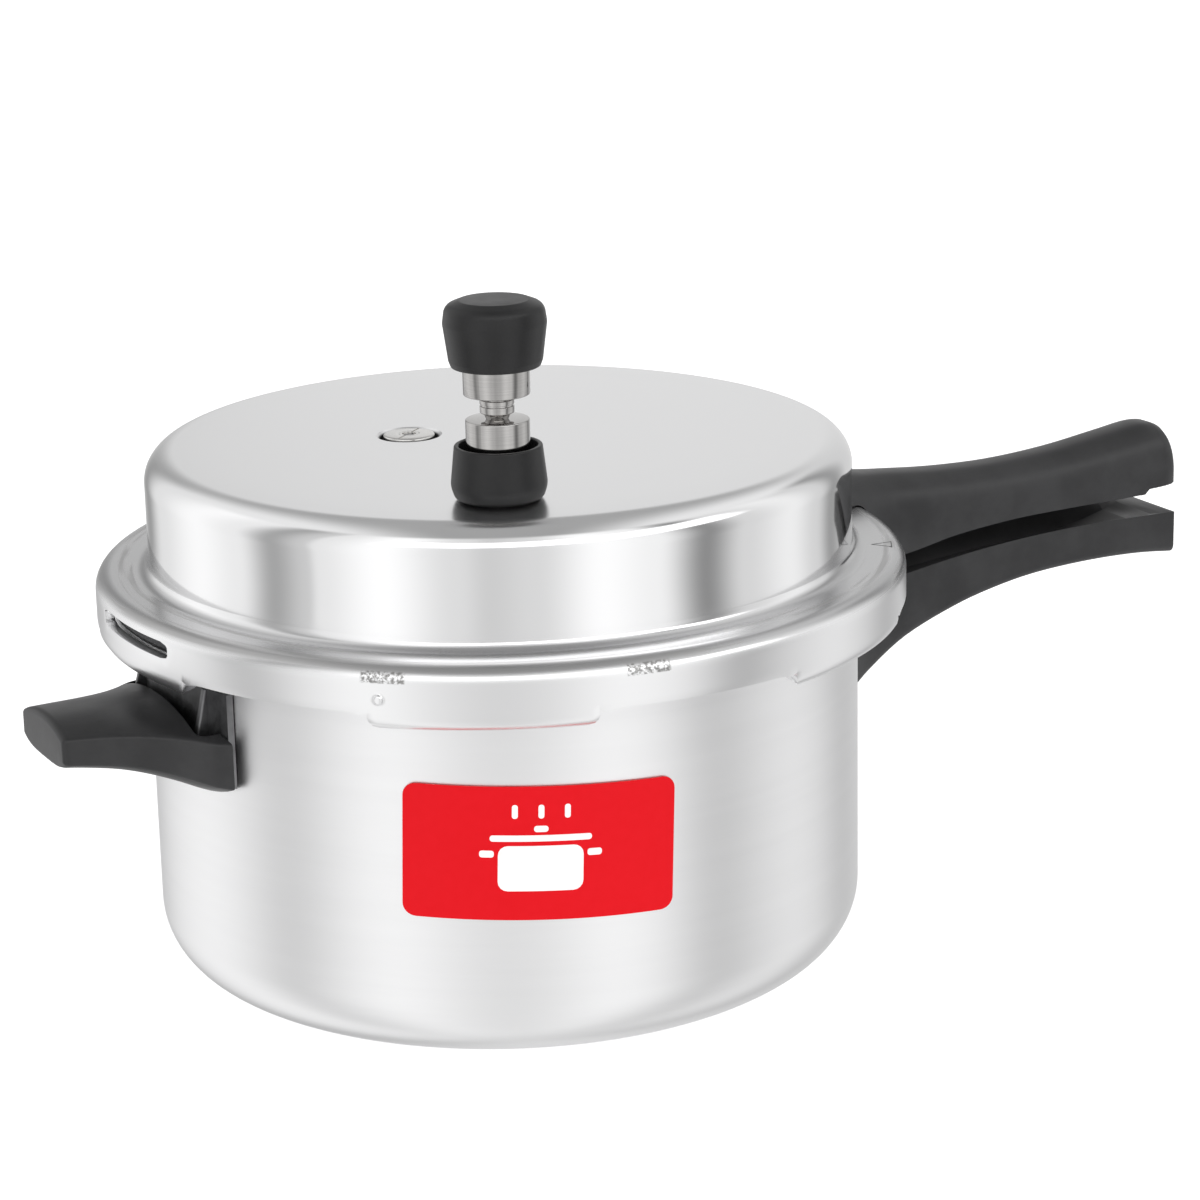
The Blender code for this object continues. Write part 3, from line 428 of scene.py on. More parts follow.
def lid_finish():
    """Satin top and skirt, polished dome wall, and a flange darkened with painted shade, with streaks left
    by the polishing wheel.
    """
    made, shader = new_finish("lid_aluminium", (0.90, 0.90, 0.905), 1.0, 0.2)
    where, x, y, z, radius = place_on(made)
    marks = spin_marks(made, x, y, z, radius)
    top = blend_between(made, z, (LID_TOP - 3.0) * MM, (LID_TOP - 0.6) * MM)
    wall = blend_between(made, z, (FLANGE + 3.0) * MM, (FLANGE + 8.0) * MM)
    skirt = blend_between(made, z, (FLANGE - 1.4) * MM, (FLANGE - 4.0) * MM)
    rough = mix_values(made, wall, 0.13, 0.075)
    rough = mix_values(made, top, rough, 0.24)
    rough = mix_values(made, skirt, rough, 0.30)
    rough = put(made, "Math", rough, put(made, "MapRange", marks, 0.3, 0.7, -0.008, 0.014),
                operation="ADD")
    # Streaks run round the flange.
    round_flange = put(made, "CombineXYZ",
                       put(made, "Math", radius, 260.0, operation="MULTIPLY"),
                       put(made, "Math", z, 120.0, operation="MULTIPLY"),
                       put(made, "Math", put(made, "Math", x, y, operation="ADD"), 9.0,
                           operation="MULTIPLY"))
    streaks = put(made, "TexNoise", round_flange, None, 1.0, 3.0, 0.55, None, None, None, 0.4)
    streaks = blend_between(made, streaks, 0.52, 0.66)
    on_flange = put(made, "Math",
                    blend_between(made, z, (FLANGE + 2.4) * MM, (FLANGE + 0.5) * MM),
                    blend_between(made, z, (FLANGE - 3.2) * MM, (FLANGE - 1.2) * MM),
                    operation="MULTIPLY")
    streaks = put(made, "Math", streaks, on_flange, operation="MULTIPLY")
    # Painted shade: the flange's aluminium is given a darker colour than the rest of the lid.
    tone = mix_colours(made, on_flange, (0.92, 0.92, 0.925, 1), (0.60, 0.60, 0.605, 1))
    tone = mix_colours(made, put(made, "Math", streaks, 0.55, operation="MULTIPLY"), tone,
                       (0.46, 0.455, 0.45, 1))
    rough = mix_values(made, on_flange, rough, 0.24)
    rough = mix_values(made, streaks, rough, 0.36)
    # Dark speckled patches on the skirt's shoulder, either side of the front lug only.
    angle = put(made, "Math", y, x, operation="ARCTAN2")
    share = put(made, "Math", put(made, "Math", angle, radians(LUG_FIRST), operation="SUBTRACT"),
                radians(LUG_PITCH), operation="DIVIDE")
    share = put(made, "Math", share, operation="FRACT")
    speckle = put(made, "TexNoise", where, None, 900.0, 3.0, 0.7)
    front = put(made, "Math", blend_between(made, x, -108 * MM, -102 * MM),
                blend_between(made, x, 12 * MM, 6 * MM), operation="MULTIPLY")
    front = put(made, "Math", front, blend_between(made, y, 0.0, -20 * MM), operation="MULTIPLY")
    for middle_share in (1 - 12.9 / LUG_PITCH, 21.8 / LUG_PITCH):
        off = put(made, "Math", put(made, "Math", share, middle_share, operation="SUBTRACT"),
                  operation="ABSOLUTE")
        along = blend_between(made, off, 0.052, 0.046)
        off = put(made, "Math", put(made, "Math", z, (FLANGE - 3.4) * MM, operation="SUBTRACT"),
                  operation="ABSOLUTE")
        up = blend_between(made, off, 1.9 * MM, 1.4 * MM)
        patch = put(made, "Math", along, up, operation="MULTIPLY")
        patch = put(made, "Math", patch, blend_between(made, speckle, 0.40, 0.60), operation="MULTIPLY")
        patch = put(made, "Math", patch, front, operation="MULTIPLY")
        tone = mix_colours(made, patch, tone, (0.30, 0.295, 0.29, 1))
        rough = mix_values(made, patch, rough, 0.42)
    # A dark tone stands for the shadow in the groove round the safety plug.
    off_x = put(made, "Math", x, PLUG_X * MM, operation="SUBTRACT")
    off_y = put(made, "Math", y, PLUG_Y * MM, operation="SUBTRACT")
    off = put(made, "Math", put(made, "Math", off_x, off_x, operation="MULTIPLY"),
              put(made, "Math", off_y, off_y, operation="MULTIPLY"), operation="ADD")
    off = put(made, "Math", off, operation="SQRT")
    groove = put(made, "Math", blend_between(made, off, 10.6 * MM, 9.6 * MM),
                 blend_between(made, z, (LID_TOP + 0.6) * MM, (LID_TOP - 0.1) * MM), operation="MULTIPLY")
    tone = mix_colours(made, groove, tone, (0.05, 0.05, 0.05, 1))
    rough = mix_values(made, groove, rough, 0.5)
    link(made, tone, shader.inputs["Base Color"])
    link(made, rough, shader.inputs["Roughness"])
    waves = put(made, "TexNoise", where, None, 22.0, 2.0, 0.5)
    height = put(made, "Math", put(made, "Math", waves, 0.03 * MM, operation="MULTIPLY"),
                 put(made, "Math", marks, 0.00012 * MM, operation="MULTIPLY"), operation="ADD")
    bump(made, shader, height, 1.0, 1.0)
    return made


def pot_finish():
    made, shader = new_finish("pot_aluminium", (0.96, 0.96, 0.965), 1.0, 0.38)
    where, x, y, z, radius = place_on(made)
    marks = spin_marks(made, x, y, z, radius, 1800.0)
    broad = spin_marks(made, x, y, z, radius, 160.0, 6.0)
    rough = put(made, "MapRange", marks, 0.3, 0.7, 0.37, 0.40)
    inside = blend_between(made, radius, (WALL - 1.0) * MM, (WALL - 2.0) * MM)
    rough = mix_values(made, inside, rough, 0.36)
    link(made, rough, shader.inputs["Roughness"])
    tone = mix_colours(made, blend_between(made, broad, 0.35, 0.65), (0.955, 0.955, 0.96, 1),
                       (0.97, 0.97, 0.975, 1))
    link(made, tone, shader.inputs["Base Color"])
    height = put(made, "Math", marks, 0.0002 * MM, operation="MULTIPLY")
    bump(made, shader, height, 1.0, 1.0)
    return made


def turned_finish(name, colour, place, fine=3000.0, roughness=0.13):
    """Metal turned on a lathe, with rings round its own axis."""
    made, shader = new_finish(name, colour, 1.0, roughness)
    _, x, y, z, radius = place_on(made, place)
    marks = spin_marks(made, x, y, z, radius, fine, 60.0)
    link(made, put(made, "MapRange", marks, 0.3, 0.7, roughness - 0.02, roughness + 0.03),
         shader.inputs["Roughness"])
    tone = tuple(value * 0.93 for value in colour)
    link(made, mix_colours(made, blend_between(made, marks, 0.4, 0.6), (*tone, 1), (*colour, 1)),
         shader.inputs["Base Color"])
    bump(made, shader, put(made, "Math", marks, 0.0003 * MM, operation="MULTIPLY"), 1.0, 1.0)
    return made


def moulded_finish(name, colour, roughness=0.42, grain=900.0):
    """Compression-moulded phenolic: a faint skin texture, mottling and a duller bloom."""
    made, shader = new_finish(name, colour, 0.0, roughness)
    where = put(made, "TexCoord", out=3)
    cloud = put(made, "TexNoise", where, None, 55.0, 4.0, 0.6)
    skin = put(made, "TexNoise", where, None, grain, 3.0, 0.6)
    light = tuple(min(value * 1.35, 1.0) for value in colour)
    tone = mix_colours(made, blend_between(made, cloud, 0.35, 0.70), (*colour, 1), (*light, 1))
    link(made, tone, shader.inputs["Base Color"])
    rough = put(made, "MapRange", cloud, 0.3, 0.7, roughness - 0.05, roughness + 0.07)
    link(made, rough, shader.inputs["Roughness"])
    shader.inputs["Specular IOR Level"].default_value = 0.32
    bump(made, shader, put(made, "Math", skin, 0.02 * MM, operation="MULTIPLY"), 0.8, 1.0)
    return made


def bracket_finish():
    """Dark cast bracket with a tumbled, slightly dusty surface."""
    made, shader = new_finish("bracket_steel", (0.30, 0.30, 0.305), 1.0, 0.42)
    where = put(made, "TexCoord", out=3)
    pits = put(made, "TexNoise", where, None, 420.0, 5.0, 0.65)
    cloud = put(made, "TexNoise", where, None, 70.0, 3.0, 0.5)
    link(made, mix_colours(made, blend_between(made, cloud, 0.3, 0.7), (0.13, 0.13, 0.135, 1),
                           (0.25, 0.25, 0.255, 1)), shader.inputs["Base Color"])
    link(made, put(made, "MapRange", pits, 0.3, 0.7, 0.34, 0.52), shader.inputs["Roughness"])
    bump(made, shader, put(made, "Math", pits, 0.05 * MM, operation="MULTIPLY"), 0.8, 1.0)
    return made


def print_finish(name, colour, dark):
    """Printed enamel with a very slight orange-peel surface."""
    made, shader = new_finish(name, colour, 0.0, 0.34)
    where = put(made, "TexCoord", out=3)
    peel = put(made, "TexNoise", where, None, 340.0, 2.0, 0.5)
    link(made, mix_colours(made, blend_between(made, peel, 0.3, 0.7), (*dark, 1), (*colour, 1)),
         shader.inputs["Base Color"])
    link(made, put(made, "MapRange", peel, 0.3, 0.7, 0.30, 0.38), shader.inputs["Roughness"])
    shader.inputs["Specular IOR Level"].default_value = 0.12
    bump(made, shader, put(made, "Math", peel, 0.01 * MM, operation="MULTIPLY"), 0.6, 1.0)
    return made


LID_METAL = lid_finish()
POT_METAL = pot_finish()
CORE_STEEL = turned_finish("turned_steel", (0.50, 0.49, 0.48), VENT, 3000.0, 0.045)
PLUG_METAL = turned_finish("plated_brass", (0.80, 0.79, 0.77), (PLUG_X, PLUG_Y, 0), 1600.0, 0.2)
RIVET_METAL = turned_finish("rivet_aluminium", (0.82, 0.82, 0.83), (0, 0, 0), 1200.0, 0.26)
FUSE_ALLOY = turned_finish("fusible_alloy", (0.32, 0.32, 0.33), (PLUG_X, PLUG_Y, 0), 1400.0, 0.45)
GRIP_BLACK = moulded_finish("black_phenolic", (0.027, 0.027, 0.028), 0.36)
WEIGHT_BLACK = moulded_finish("weight_phenolic", (0.013, 0.013, 0.0135), 0.36)
GASKET_RUBBER = moulded_finish("gasket_rubber", (0.05, 0.05, 0.053), 0.6, 1500.0)
BRACKET_METAL = bracket_finish()
LABEL_RED = print_finish("red_label", (0.72, 0.0035, 0.010), (0.71, 0.003, 0.009))
# Painted shade for the grooves of the arrowhead pressed into the flange.
STAMP_PAINTED_SHADE = turned_finish("stamp_shadow", (0.20, 0.20, 0.20), (0, 0, 0), 900.0, 0.5)
MARK_WHITE = print_finish("white_print", (0.92, 0.92, 0.92), (0.86, 0.86, 0.86))


# ---------------------------------------------------------------- pot

def make_pot():
    inside = WALL - WALL_SHEET
    hollow = BASE_ROUND - WALL_SHEET
    section = [(0.0, BASE_SHEET), (48.0, BASE_SHEET)]
    section += arc(inside - hollow, BASE_SHEET + hollow, hollow, -90, 0, 14)
    section += [(inside, 45.0), (inside, 85.0)]
    section += rounded([(inside, 100.0, 0), (inside, RIM, 0.6), (COLLAR, RIM, 0.5),
                        (COLLAR, LUG_UNDER, 0)], 3)
    section += arc(COLLAR, LUG_UNDER - 2.5, 2.5, 90, 180, 6)[1:]
    section += [(WALL, 95.0), (WALL, 70.0), (WALL, 45.0)]
    section += arc(WALL - BASE_ROUND, BASE_ROUND, BASE_ROUND, 0, -74, 16)
    section += [(84.0, 0.35), (82.0, 0.0), (60.0, 0.0), (58.0, 0.5), (30.0, 0.5), (0.0, 0.5)]
    pot = spun("spun_pot", section, 360)
    edit(pot)
    pick("faces", lambda at, normal: abs(hypot(at.x, at.y) - COLLAR) < 0.02 and LUG_UNDER < at.z
         and abs(from_lug(at)) < POT_LUG_HALF)
    bpy.ops.mesh.extrude_region_shrink_fatten(
        TRANSFORM_OT_shrink_fatten={"value": (LUG_REACH - COLLAR) * MM})
    done()
    soften(pot, 0.6, 2, 60)
    return fit(pot, "pot_body", POT_METAL)


def make_label():
    low = edge("label", 0, "z")
    high = edge("label", 1, "z")
    inner = WALL + PLAY
    outer = inner + 0.4
    section = [(inner, high + 2), (outer, high + 2), (outer, low - 2), (inner, low - 2)]
    plate = spun("label_plate", section, 360, closed=True)
    half_high = (high - low) / 2 - 1.45
    half_wide = inner * sin(radians(20.7))
    outline = box("label_outline", (inner * 0.6, -half_wide, -half_high),
                  (inner * 1.3, half_wide, half_high), 0, 4.0, 8)
    turned_to(outline, (radians(LABEL_TILT), 0, radians(LABEL_FACING)), (0, 0, middle("label")[2]))
    cut(plate, outline, "INTERSECT")
    return fit(plate, "label", LABEL_RED)


# ---------------------------------------------------------------- lid

def shape_lug_ends():
    """Slopes both ends of each lug, with a fillet at the skirt and narrower turned-in lip."""
    shifts = [(LUG_LOW + 4.0, 0.15), (LUG_LOW + 2.47, -0.1), (LUG_LOW + 1.17, -0.55),
              (LUG_LOW + 0.3, -1.2), (LUG_LOW, -1.8)]
    for side in (-1, 1):
        for step in range(5):
            column = side * (LID_LUG_HALF - step)
            share = 1 - step / 5
            for z, shift in shifts:
                if pick("verts", lambda at: abs(at.z - z) < 0.12 and hypot(at.x, at.y) > LIP_EDGE
                        and abs(from_lug(at) - column) < 0.05):
                    turn_about_axis(side * shift * share)
            if pick("verts", lambda at: hypot(at.x, at.y) < LIP_EDGE and at.z < LUG_UNDER
                    and abs(from_lug(at) - column) < 0.05):
                turn_about_axis(side * -2.2 * share)
        for step, drop in ((1, 0.95), (2, 0.42), (3, 0.12)):
            column = side * (LID_LUG_HALF + step)
            pick("verts", lambda at: abs(at.z - SKIRT_LOW) < 0.05 and hypot(at.x, at.y) > LIP_EDGE
                 and abs(from_lug(at) - column) < 0.05)
            move(z=-drop)


def turn_about_axis(angle):
    """Turns what is selected anticlockwise about the pot's axis."""
    bpy.ops.transform.rotate(value=-radians(angle), orient_axis="Z", center_override=(0, 0, 0))


def make_lid():
    bend = 4.0
    lip = SKIRT - LID_SHEET - 7.6
    foot = 4.0
    section = [(0.0, LID_TOP + 0.9), (20.0, LID_TOP + 0.88), (45.0, LID_TOP + 0.78), (72.0, LID_TOP + 0.55),
               (92.0, LID_TOP + 0.26)]
    section += arc(DOME - 9.6, LID_TOP - 9.6, 9.6, 90, 0, 14)
    section += [(DOME, LID_TOP - 16.0), (DOME, LID_TOP - 24.0)]
    section += arc(DOME + foot, FLANGE + foot, foot, 180, 270, 10)
    section += arc(SKIRT - 5.5, FLANGE - 5.5, 5.5, 90, 13.67, 8)
    section += [(SKIRT - 0.04, FLANGE - 4.87), (SKIRT, FLANGE - 5.5), (SKIRT, SLOT_LOW + 1.4),
                (SKIRT, SLOT_LOW + 0.5), (SKIRT, SLOT_LOW), (SKIRT, SLOT_LOW - 2.6), (SKIRT, SKIRT_LOW)]
    section += arc(SKIRT - bend, LUG_LOW + bend, bend, 0, -90, 4)
    section += arc(lip + bend, LUG_LOW + bend, bend, -90, -180, 4)
    section += [(lip, LUG_UNDER - PLAY)]
    lid = spun("pressed_lid", section, 360)
    edit(lid)
    pick("faces", lambda at, normal: at.z < SKIRT_LOW and abs(from_lug(at)) > LID_LUG_HALF)
    bpy.ops.mesh.delete(type="FACE")
    pick("faces", lambda at, normal: hypot(at.x, at.y) > SKIRT_WALL and SLOT_LOW < at.z < SLOT_HIGH
         and abs(apart(azimuth_of(at), SLOT_FACING)) < SLOT_HALF)
    bpy.ops.mesh.delete(type="FACE")
    for side in (-1, 1):
        for heights, inward in (((SLOT_LOW, SLOT_HIGH), 1.0), ((SLOT_LOW + 0.5, SLOT_HIGH - 0.67), 0.35)):
            for step in (0, 1):
                column = SLOT_FACING + side * (SLOT_HALF - step)
                pick("verts", lambda at: any(abs(at.z - z) < 0.12 for z in heights)
                     and hypot(at.x, at.y) > SKIRT_WALL and abs(apart(azimuth_of(at), column)) < 0.05)
                turn_about_axis(-side * inward * (1 - step * 0.35))
    shape_lug_ends()
    mesh = bmesh.from_edit_mesh(lid.data)
    highest = max(mesh.faces, key=lambda face: face.calc_center_median().z)
    if highest.normal.z < 0:
        bpy.ops.mesh.select_all(action="SELECT")
        bpy.ops.mesh.flip_normals()
    done()
    apply(lid, "SOLIDIFY", thickness=LID_SHEET * MM, offset=-1.0, use_even_offset=True)
    soften(lid, 0.7, 3, 55)
    for place, radius in ((VENT, 5.25), ((PLUG_X, PLUG_Y, LID_TOP), 6.15)):
        cut(lid, spun("drill", [(0, 9), (radius, 9), (radius, -9), (0, -9)], 48, place))
    dish = [(0, 4), (11.4, 4), (11.4, 1.5), (10.3, 0.45), (9.5, -0.1), (9.3, -1.1), (0, -1.1)]
    cut(lid, spun("dish", dish, 96, (PLUG_X, PLUG_Y, LID_TOP)))
    return fit(lid, "lid_shell", LID_METAL)


def make_pip():
    """The raised stop beside one lug."""
    section = rounded([(0.0, 0.9, 0), (1.2, 0.85, 0.9), (1.7, 0.1, 0.5), (2.5, 0.0, 0), (2.5, -0.6, 0),
                       (0.0, -0.6, 0)], 4)
    pip = spun("lid_pip", section, 32)
    turned_to(pip, (0, pi / 2, radians(PIP_FACING)), radial(PIP_FACING, SKIRT - 0.05, SLOT_LOW - 0.7))
    pip.data.materials.append(LID_METAL)
    only(pip)
    bpy.ops.object.shade_smooth_by_angle(angle=radians(40))
    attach(pip, "lid")


def make_gasket():
    outer = SKIRT - LID_SHEET - 0.5
    inner = outer - 11.0
    low = edge("gasket", 0, "z")
    high = edge("gasket", 1, "z")
    section = rounded([(inner, high, 1.6), (outer, high, 2.4), (outer, low, 1.4), (outer - 4.5, low, 0.6),
                       (outer - 5.5, low + 1.0, 0.6), (inner + 2.5, low, 0.6), (inner, low, 0.9)], 4)
    ring = spun("sealing_ring", section, 240, closed=True)
    return fit(ring, "gasket", GASKET_RUBBER)


# ---------------------------------------------------------------- handles

def make_pot_handle():
    stations = smooth_run([
        (114.0, 25.0, 103.5, 65.8), (121.0, 22.0, 104.6, 69.0), (132.0, 17.2, 105.6, 74.6),
        (149.0, 14.0, 106.9, 83.4), (170.0, 12.6, 109.3, 90.6), (188.0, 12.2, 111.0, 94.9),
        (206.0, 12.2, 112.2, 97.6), (228.0, 12.6, 112.9, 98.8), (248.0, 13.2, 112.8, 98.6),
        (HANDLE_END, 13.4, 112.5, 97.2),
    ])
    handle = drawn_out("pot_grip", stations, [(-1, 1), (1, 1), (1, 0), (-1, 0)])
    edit(handle)
    # The upper side is a channel that runs out towards the end.
    pick("faces", lambda at, normal: normal.z > 0.9 and 136 < at.x < 257)
    bpy.ops.mesh.inset(thickness=3.4 * MM, use_even_offset=True)
    mesh = bmesh.from_edit_mesh(handle.data)
    floor = sorted({round(vert.co.x / MM, 2) for vert in mesh.verts if vert.select})
    for x in floor:
        depth = max(7.4 - 7.0 * max(0.0, (x - 222.0) / 34.0) ** 1.5, 0.35)
        pick("verts", lambda at: abs(at.x - x) < 0.03 and abs(at.y) < 14
             and at.z > 98 and abs(at.y) < half_width(stations, x) - 2.0)
        move(z=-depth)
    done()
    edit(handle)
    pick("edges", lambda a, b: is_long(a, b) and outer_edge(a, stations)
         and a.z < (line(stations, a.x, 2) + line(stations, a.x, 3)) / 2)
    bpy.ops.mesh.bevel(offset=3.0 * MM, segments=5, affect="EDGES")
    done()
    soften(handle, 0.45, 2, 40)
    cut(handle, spun("pot_seat", [(0, 125), (PLATE_FACE, 125), (PLATE_FACE, 50), (0, 50)], 240))
    low = edge("pot_handle_screw", 1, "z") - 9.2
    cut(handle, spun("sink", [(0, low), (4.35, low), (4.35, 60), (0, 60)], 32, (151, 0, 0)))
    return fit(handle, "pot_handle", GRIP_BLACK)


def line(stations, x, column):
    """A value of the stations at x."""
    for near, far in zip(stations, stations[1:]):
        if near[0] - 0.01 <= x <= far[0] + 0.01:
            share = (x - near[0]) / (far[0] - near[0])
            return near[column] + (far[column] - near[column]) * share
    return stations[0 if x < stations[0][0] else -1][column]


def half_width(stations, x):
    return line(stations, x, 1)


def is_long(a, b):
    return abs(b.x - a.x) > 0.3 and abs(b.y - a.y) < abs(b.x - a.x) * 1.5


def outer_edge(at, stations):
    return abs(abs(at.y) - half_width(stations, abs(at.x))) < 0.1


def make_lid_handle():
    stations = smooth_run([
        (112.0, 22.0, 146.0, 134.0), (121.0, 19.4, 144.4, 128.0), (132.0, 17.0, 142.8, 116.0),
        (140.0, 15.6, 141.6, 114.0), (150.0, 14.6, 140.6, 114.2), (170.0, 13.4, 138.9, 117.2),
        (194.0, 12.8, 138.3, 119.2), (218.0, 13.0, 139.7, 119.9), (240.0, 13.8, 142.5, 120.3),
        (253.0, 14.2, 144.3, 120.8), (258.6, 14.2, 144.1, 121.1),
    ], 6)
    stations += [(261.0, 13.9, 143.2, 121.3), (262.4, 13.3, 141.6, 121.6), (HANDLE_END, 12.5, 139.6, 122.2)]
    handle = drawn_out("lid_grip", stations, arch(0.30, 0.72, 28))
    edit(handle)
    # The underside is hollow, and stops at a nub before the end.
    pick("faces", lambda at, normal: normal.z < -0.7 and 161 < at.x < 248)
    bpy.ops.mesh.inset(thickness=3.0 * MM, use_even_offset=True)
    move(z=9.0)
    pick("faces", lambda at, normal: normal.z < -0.7 and 251.5 < at.x < 264)
    move(z=1.7)
    done()
    soften(handle, 0.4, 2, 55)
    face = DOME + PLAY + 2.0 + PLAY
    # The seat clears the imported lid's foot, which is larger than the new lid's.
    foot = 7.0
    reached = 180 + degrees(acos((DOME + foot - face) / (foot - PLAY)))
    seat = [(0.0, LID_TOP + 5), (face, LID_TOP + 5)]
    seat += arc(DOME + foot, FLANGE + foot, foot - PLAY, reached, 270, 8)
    seat += arc(SKIRT - 5.5, FLANGE - 5.5, 5.5 + PLAY * 1.2, 90, 0, 10)
    seat += [(SKIRT + PLAY * 1.2, 100.0), (0.0, 100.0)]
    cut(handle, spun("lid_seat", seat, 240))
    return fit(handle, "lid_handle", GRIP_BLACK)


def make_helper():
    stations = smooth_run([
        (112.0, 39.0, 104.8, 77.2), (118.0, 37.2, 104.9, 79.2), (125.0, 31.0, 105.0, 82.0),
        (133.0, 25.6, 105.1, 84.8), (142.0, 22.2, 105.2, 87.4), (152.0, 20.2, 105.3, 89.3),
        (158.6, 19.3, 105.3, 90.3),
    ])
    stations += [(159.7, 18.9, 104.9, 90.7), (160.4, 18.1, 104.1, 91.4)]
    # A crowned top meets upright sides at a ridge, and the underside is gently rounded.
    steps = [step / 12 for step in range(-12, 13)]
    outline = [(across, 0.74 + 0.26 * (1 - abs(across) ** 2.2)) for across in steps]
    outline += [(-across, 0.20 * across ** 4) for across in steps]
    handle = drawn_out("helper_grip", stations, outline, -1)
    soften(handle, 0.7, 3, 34)
    cut(handle, spun("helper_seat", [(0, 125), (PLATE_FACE, 125), (PLATE_FACE, 50), (0, 50)], 240))
    # The upper side stops short of the pot between two horns.
    mouth = box("helper_mouth", (-WALL - 5.0, -33.0, 90.0), (-100.0, 33.0, 130.0))
    edit(mouth)
    pick("edges", lambda a, b: abs(a.z - b.z) > 5 and a.x < -WALL)
    bpy.ops.mesh.bevel(offset=4.0 * MM, segments=6, affect="EDGES")
    done()
    cut(handle, mouth)
    return fit(handle, "helper_handle", GRIP_BLACK)


def make_helper_gussets():
    """The roll where the bracket's tongue leaves its plate, and the two stiffeners pressed beside it."""
    roll = box("tongue_roll", (-WALL - 4.4, -12.5, 95.6), (-WALL - 2.2, 12.5, 99.4), 0, 1.0, 4)
    ribs = []
    for side in (-1, 1):
        rib = box("gusset", (-1.0, -1.1, 0.0), (4.6, 1.1, 17.0), 0, 0.5, 3)
        edit(rib)
        pick("verts", lambda at: at.z > 9 and at.x > 2)
        move(x=-4.0)
        done()
        rib.scale = (-1, 1, 1)
        angle = side * 12.5
        turned_to(rib, (0, 0, radians(angle)), radial(180 + angle, WALL + 2.3, 96.0))
        edit(rib)
        bpy.ops.mesh.select_all(action="SELECT")
        bpy.ops.mesh.normals_make_consistent(inside=False)
        done()
        ribs.append(rib)
    for name, piece in (("helper_roll", roll), ("helper_rib_left", ribs[0]), ("helper_rib_right", ribs[1])):
        piece.name = name
        piece.data.materials.append(BRACKET_METAL)
        only(piece)
        bpy.ops.object.shade_smooth_by_angle(angle=radians(35))
        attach(piece, "pot")


# ---------------------------------------------------------------- weight valve and safety plug

def make_weight():
    core = rounded([
        (0.0, 52.0, 0), (4.0, 52.0, 0.6), (4.0, 40.8, 0), (10.15, 40.8, 0.3), (10.15, 32.5, 0.4),
        (4.4, 32.5, 0), (4.4, 31.0, 0), (5.25, 31.0, 0.2), (5.25, 29.6, 0.15), (4.9, 29.5, 0),
        (4.9, 29.1, 0), (5.25, 29.0, 0.15), (5.25, 27.0, 0.3), (4.0, 26.3, 0), (3.4, 24.9, 0),
        (9.75, 24.9, 0.35), (9.75, 6.05, 0.4), (6.9, 6.05, 0), (6.9, 8.65, 0), (4.4, 8.65, 0),
        (4.4, 19.0, 0), (2.8, 20.35, 0), (0.0, 20.35, 0),
    ], 3)
    fit(spun("weight_steel", core, 96, VENT), "weight_core", CORE_STEEL)
    cup = rounded([
        (12.0, 17.0, 0.4), (13.4, 17.0, 0.6), (14.75, 4.7, 7.0), (13.4, 0.45, 2.2), (8.2, 0.45, 0.3),
        (8.2, 5.7, 0), (10.1, 5.7, 0), (10.1, 9.0, 0), (12.0, 10.5, 0.5),
    ], 6)
    fit(spun("weight_cup", cup, 128, VENT, True), "weight_skirt", WEIGHT_BLACK)
    knob = rounded([
        (0.0, 61.4, 0), (10.6, 61.4, 1.6), (15.0, 59.7, 3.4), (15.75, 54.5, 4.5), (14.25, 43.2, 1.4),
        (13.5, 41.15, 0.7), (4.35, 41.15, 0), (4.35, 52.35, 0), (0.0, 52.35, 0),
    ], 7)
    fit(spun("weight_grip", knob, 128, VENT), "weight_knob", WEIGHT_BLACK)


def make_vent():
    tube = rounded([
        (1.4, 20.0, 0), (3.9, 20.0, 1.0), (3.9, 4.3, 0), (5.7, 4.3, 0.2), (6.6, 3.5, 0.2), (6.6, 0.5, 0.2),
        (4.9, 0.5, 0), (4.9, -12.8, 0.6), (1.4, -12.8, 0),
    ], 4)
    fit(spun("steam_tube", tube, 64, VENT, True), "vent_tube", CORE_STEEL)


def make_plug():
    place = (PLUG_X, PLUG_Y, PLUG_HEAD - 1.55)
    head = rounded([
        (2.3, 1.55, 0.1), (3.1, 1.55, 0.0), (3.3, 1.42, 0.0), (3.5, 1.55, 0.0), (7.3, 1.55, 0.0),
        (8.35, 1.30, 0.4), (8.35, 0.15, 0.1), (5.8, 0.15, 0), (5.8, -13.0, 0.3), (2.3, -13.0, 0),
    ], 3)
    plug = spun("plug_body", head, 96, place, True)
    slot = box("driver_slot", (-7.4, -0.35, 1.2), (7.4, 0.35, 5.0))
    cut(plug, turned_to(slot, (0, 0, radians(-141)), place))
    fit(plug, "safety_plug_body", PLUG_METAL)
    fuse = [(0.0, 0.9), (1.9, 0.9), (2.05, 0.75), (2.05, -12.0), (0.0, -12.0)]
    fit(spun("plug_fuse", fuse, 6, place), "safety_plug_fuse", FUSE_ALLOY, 20)


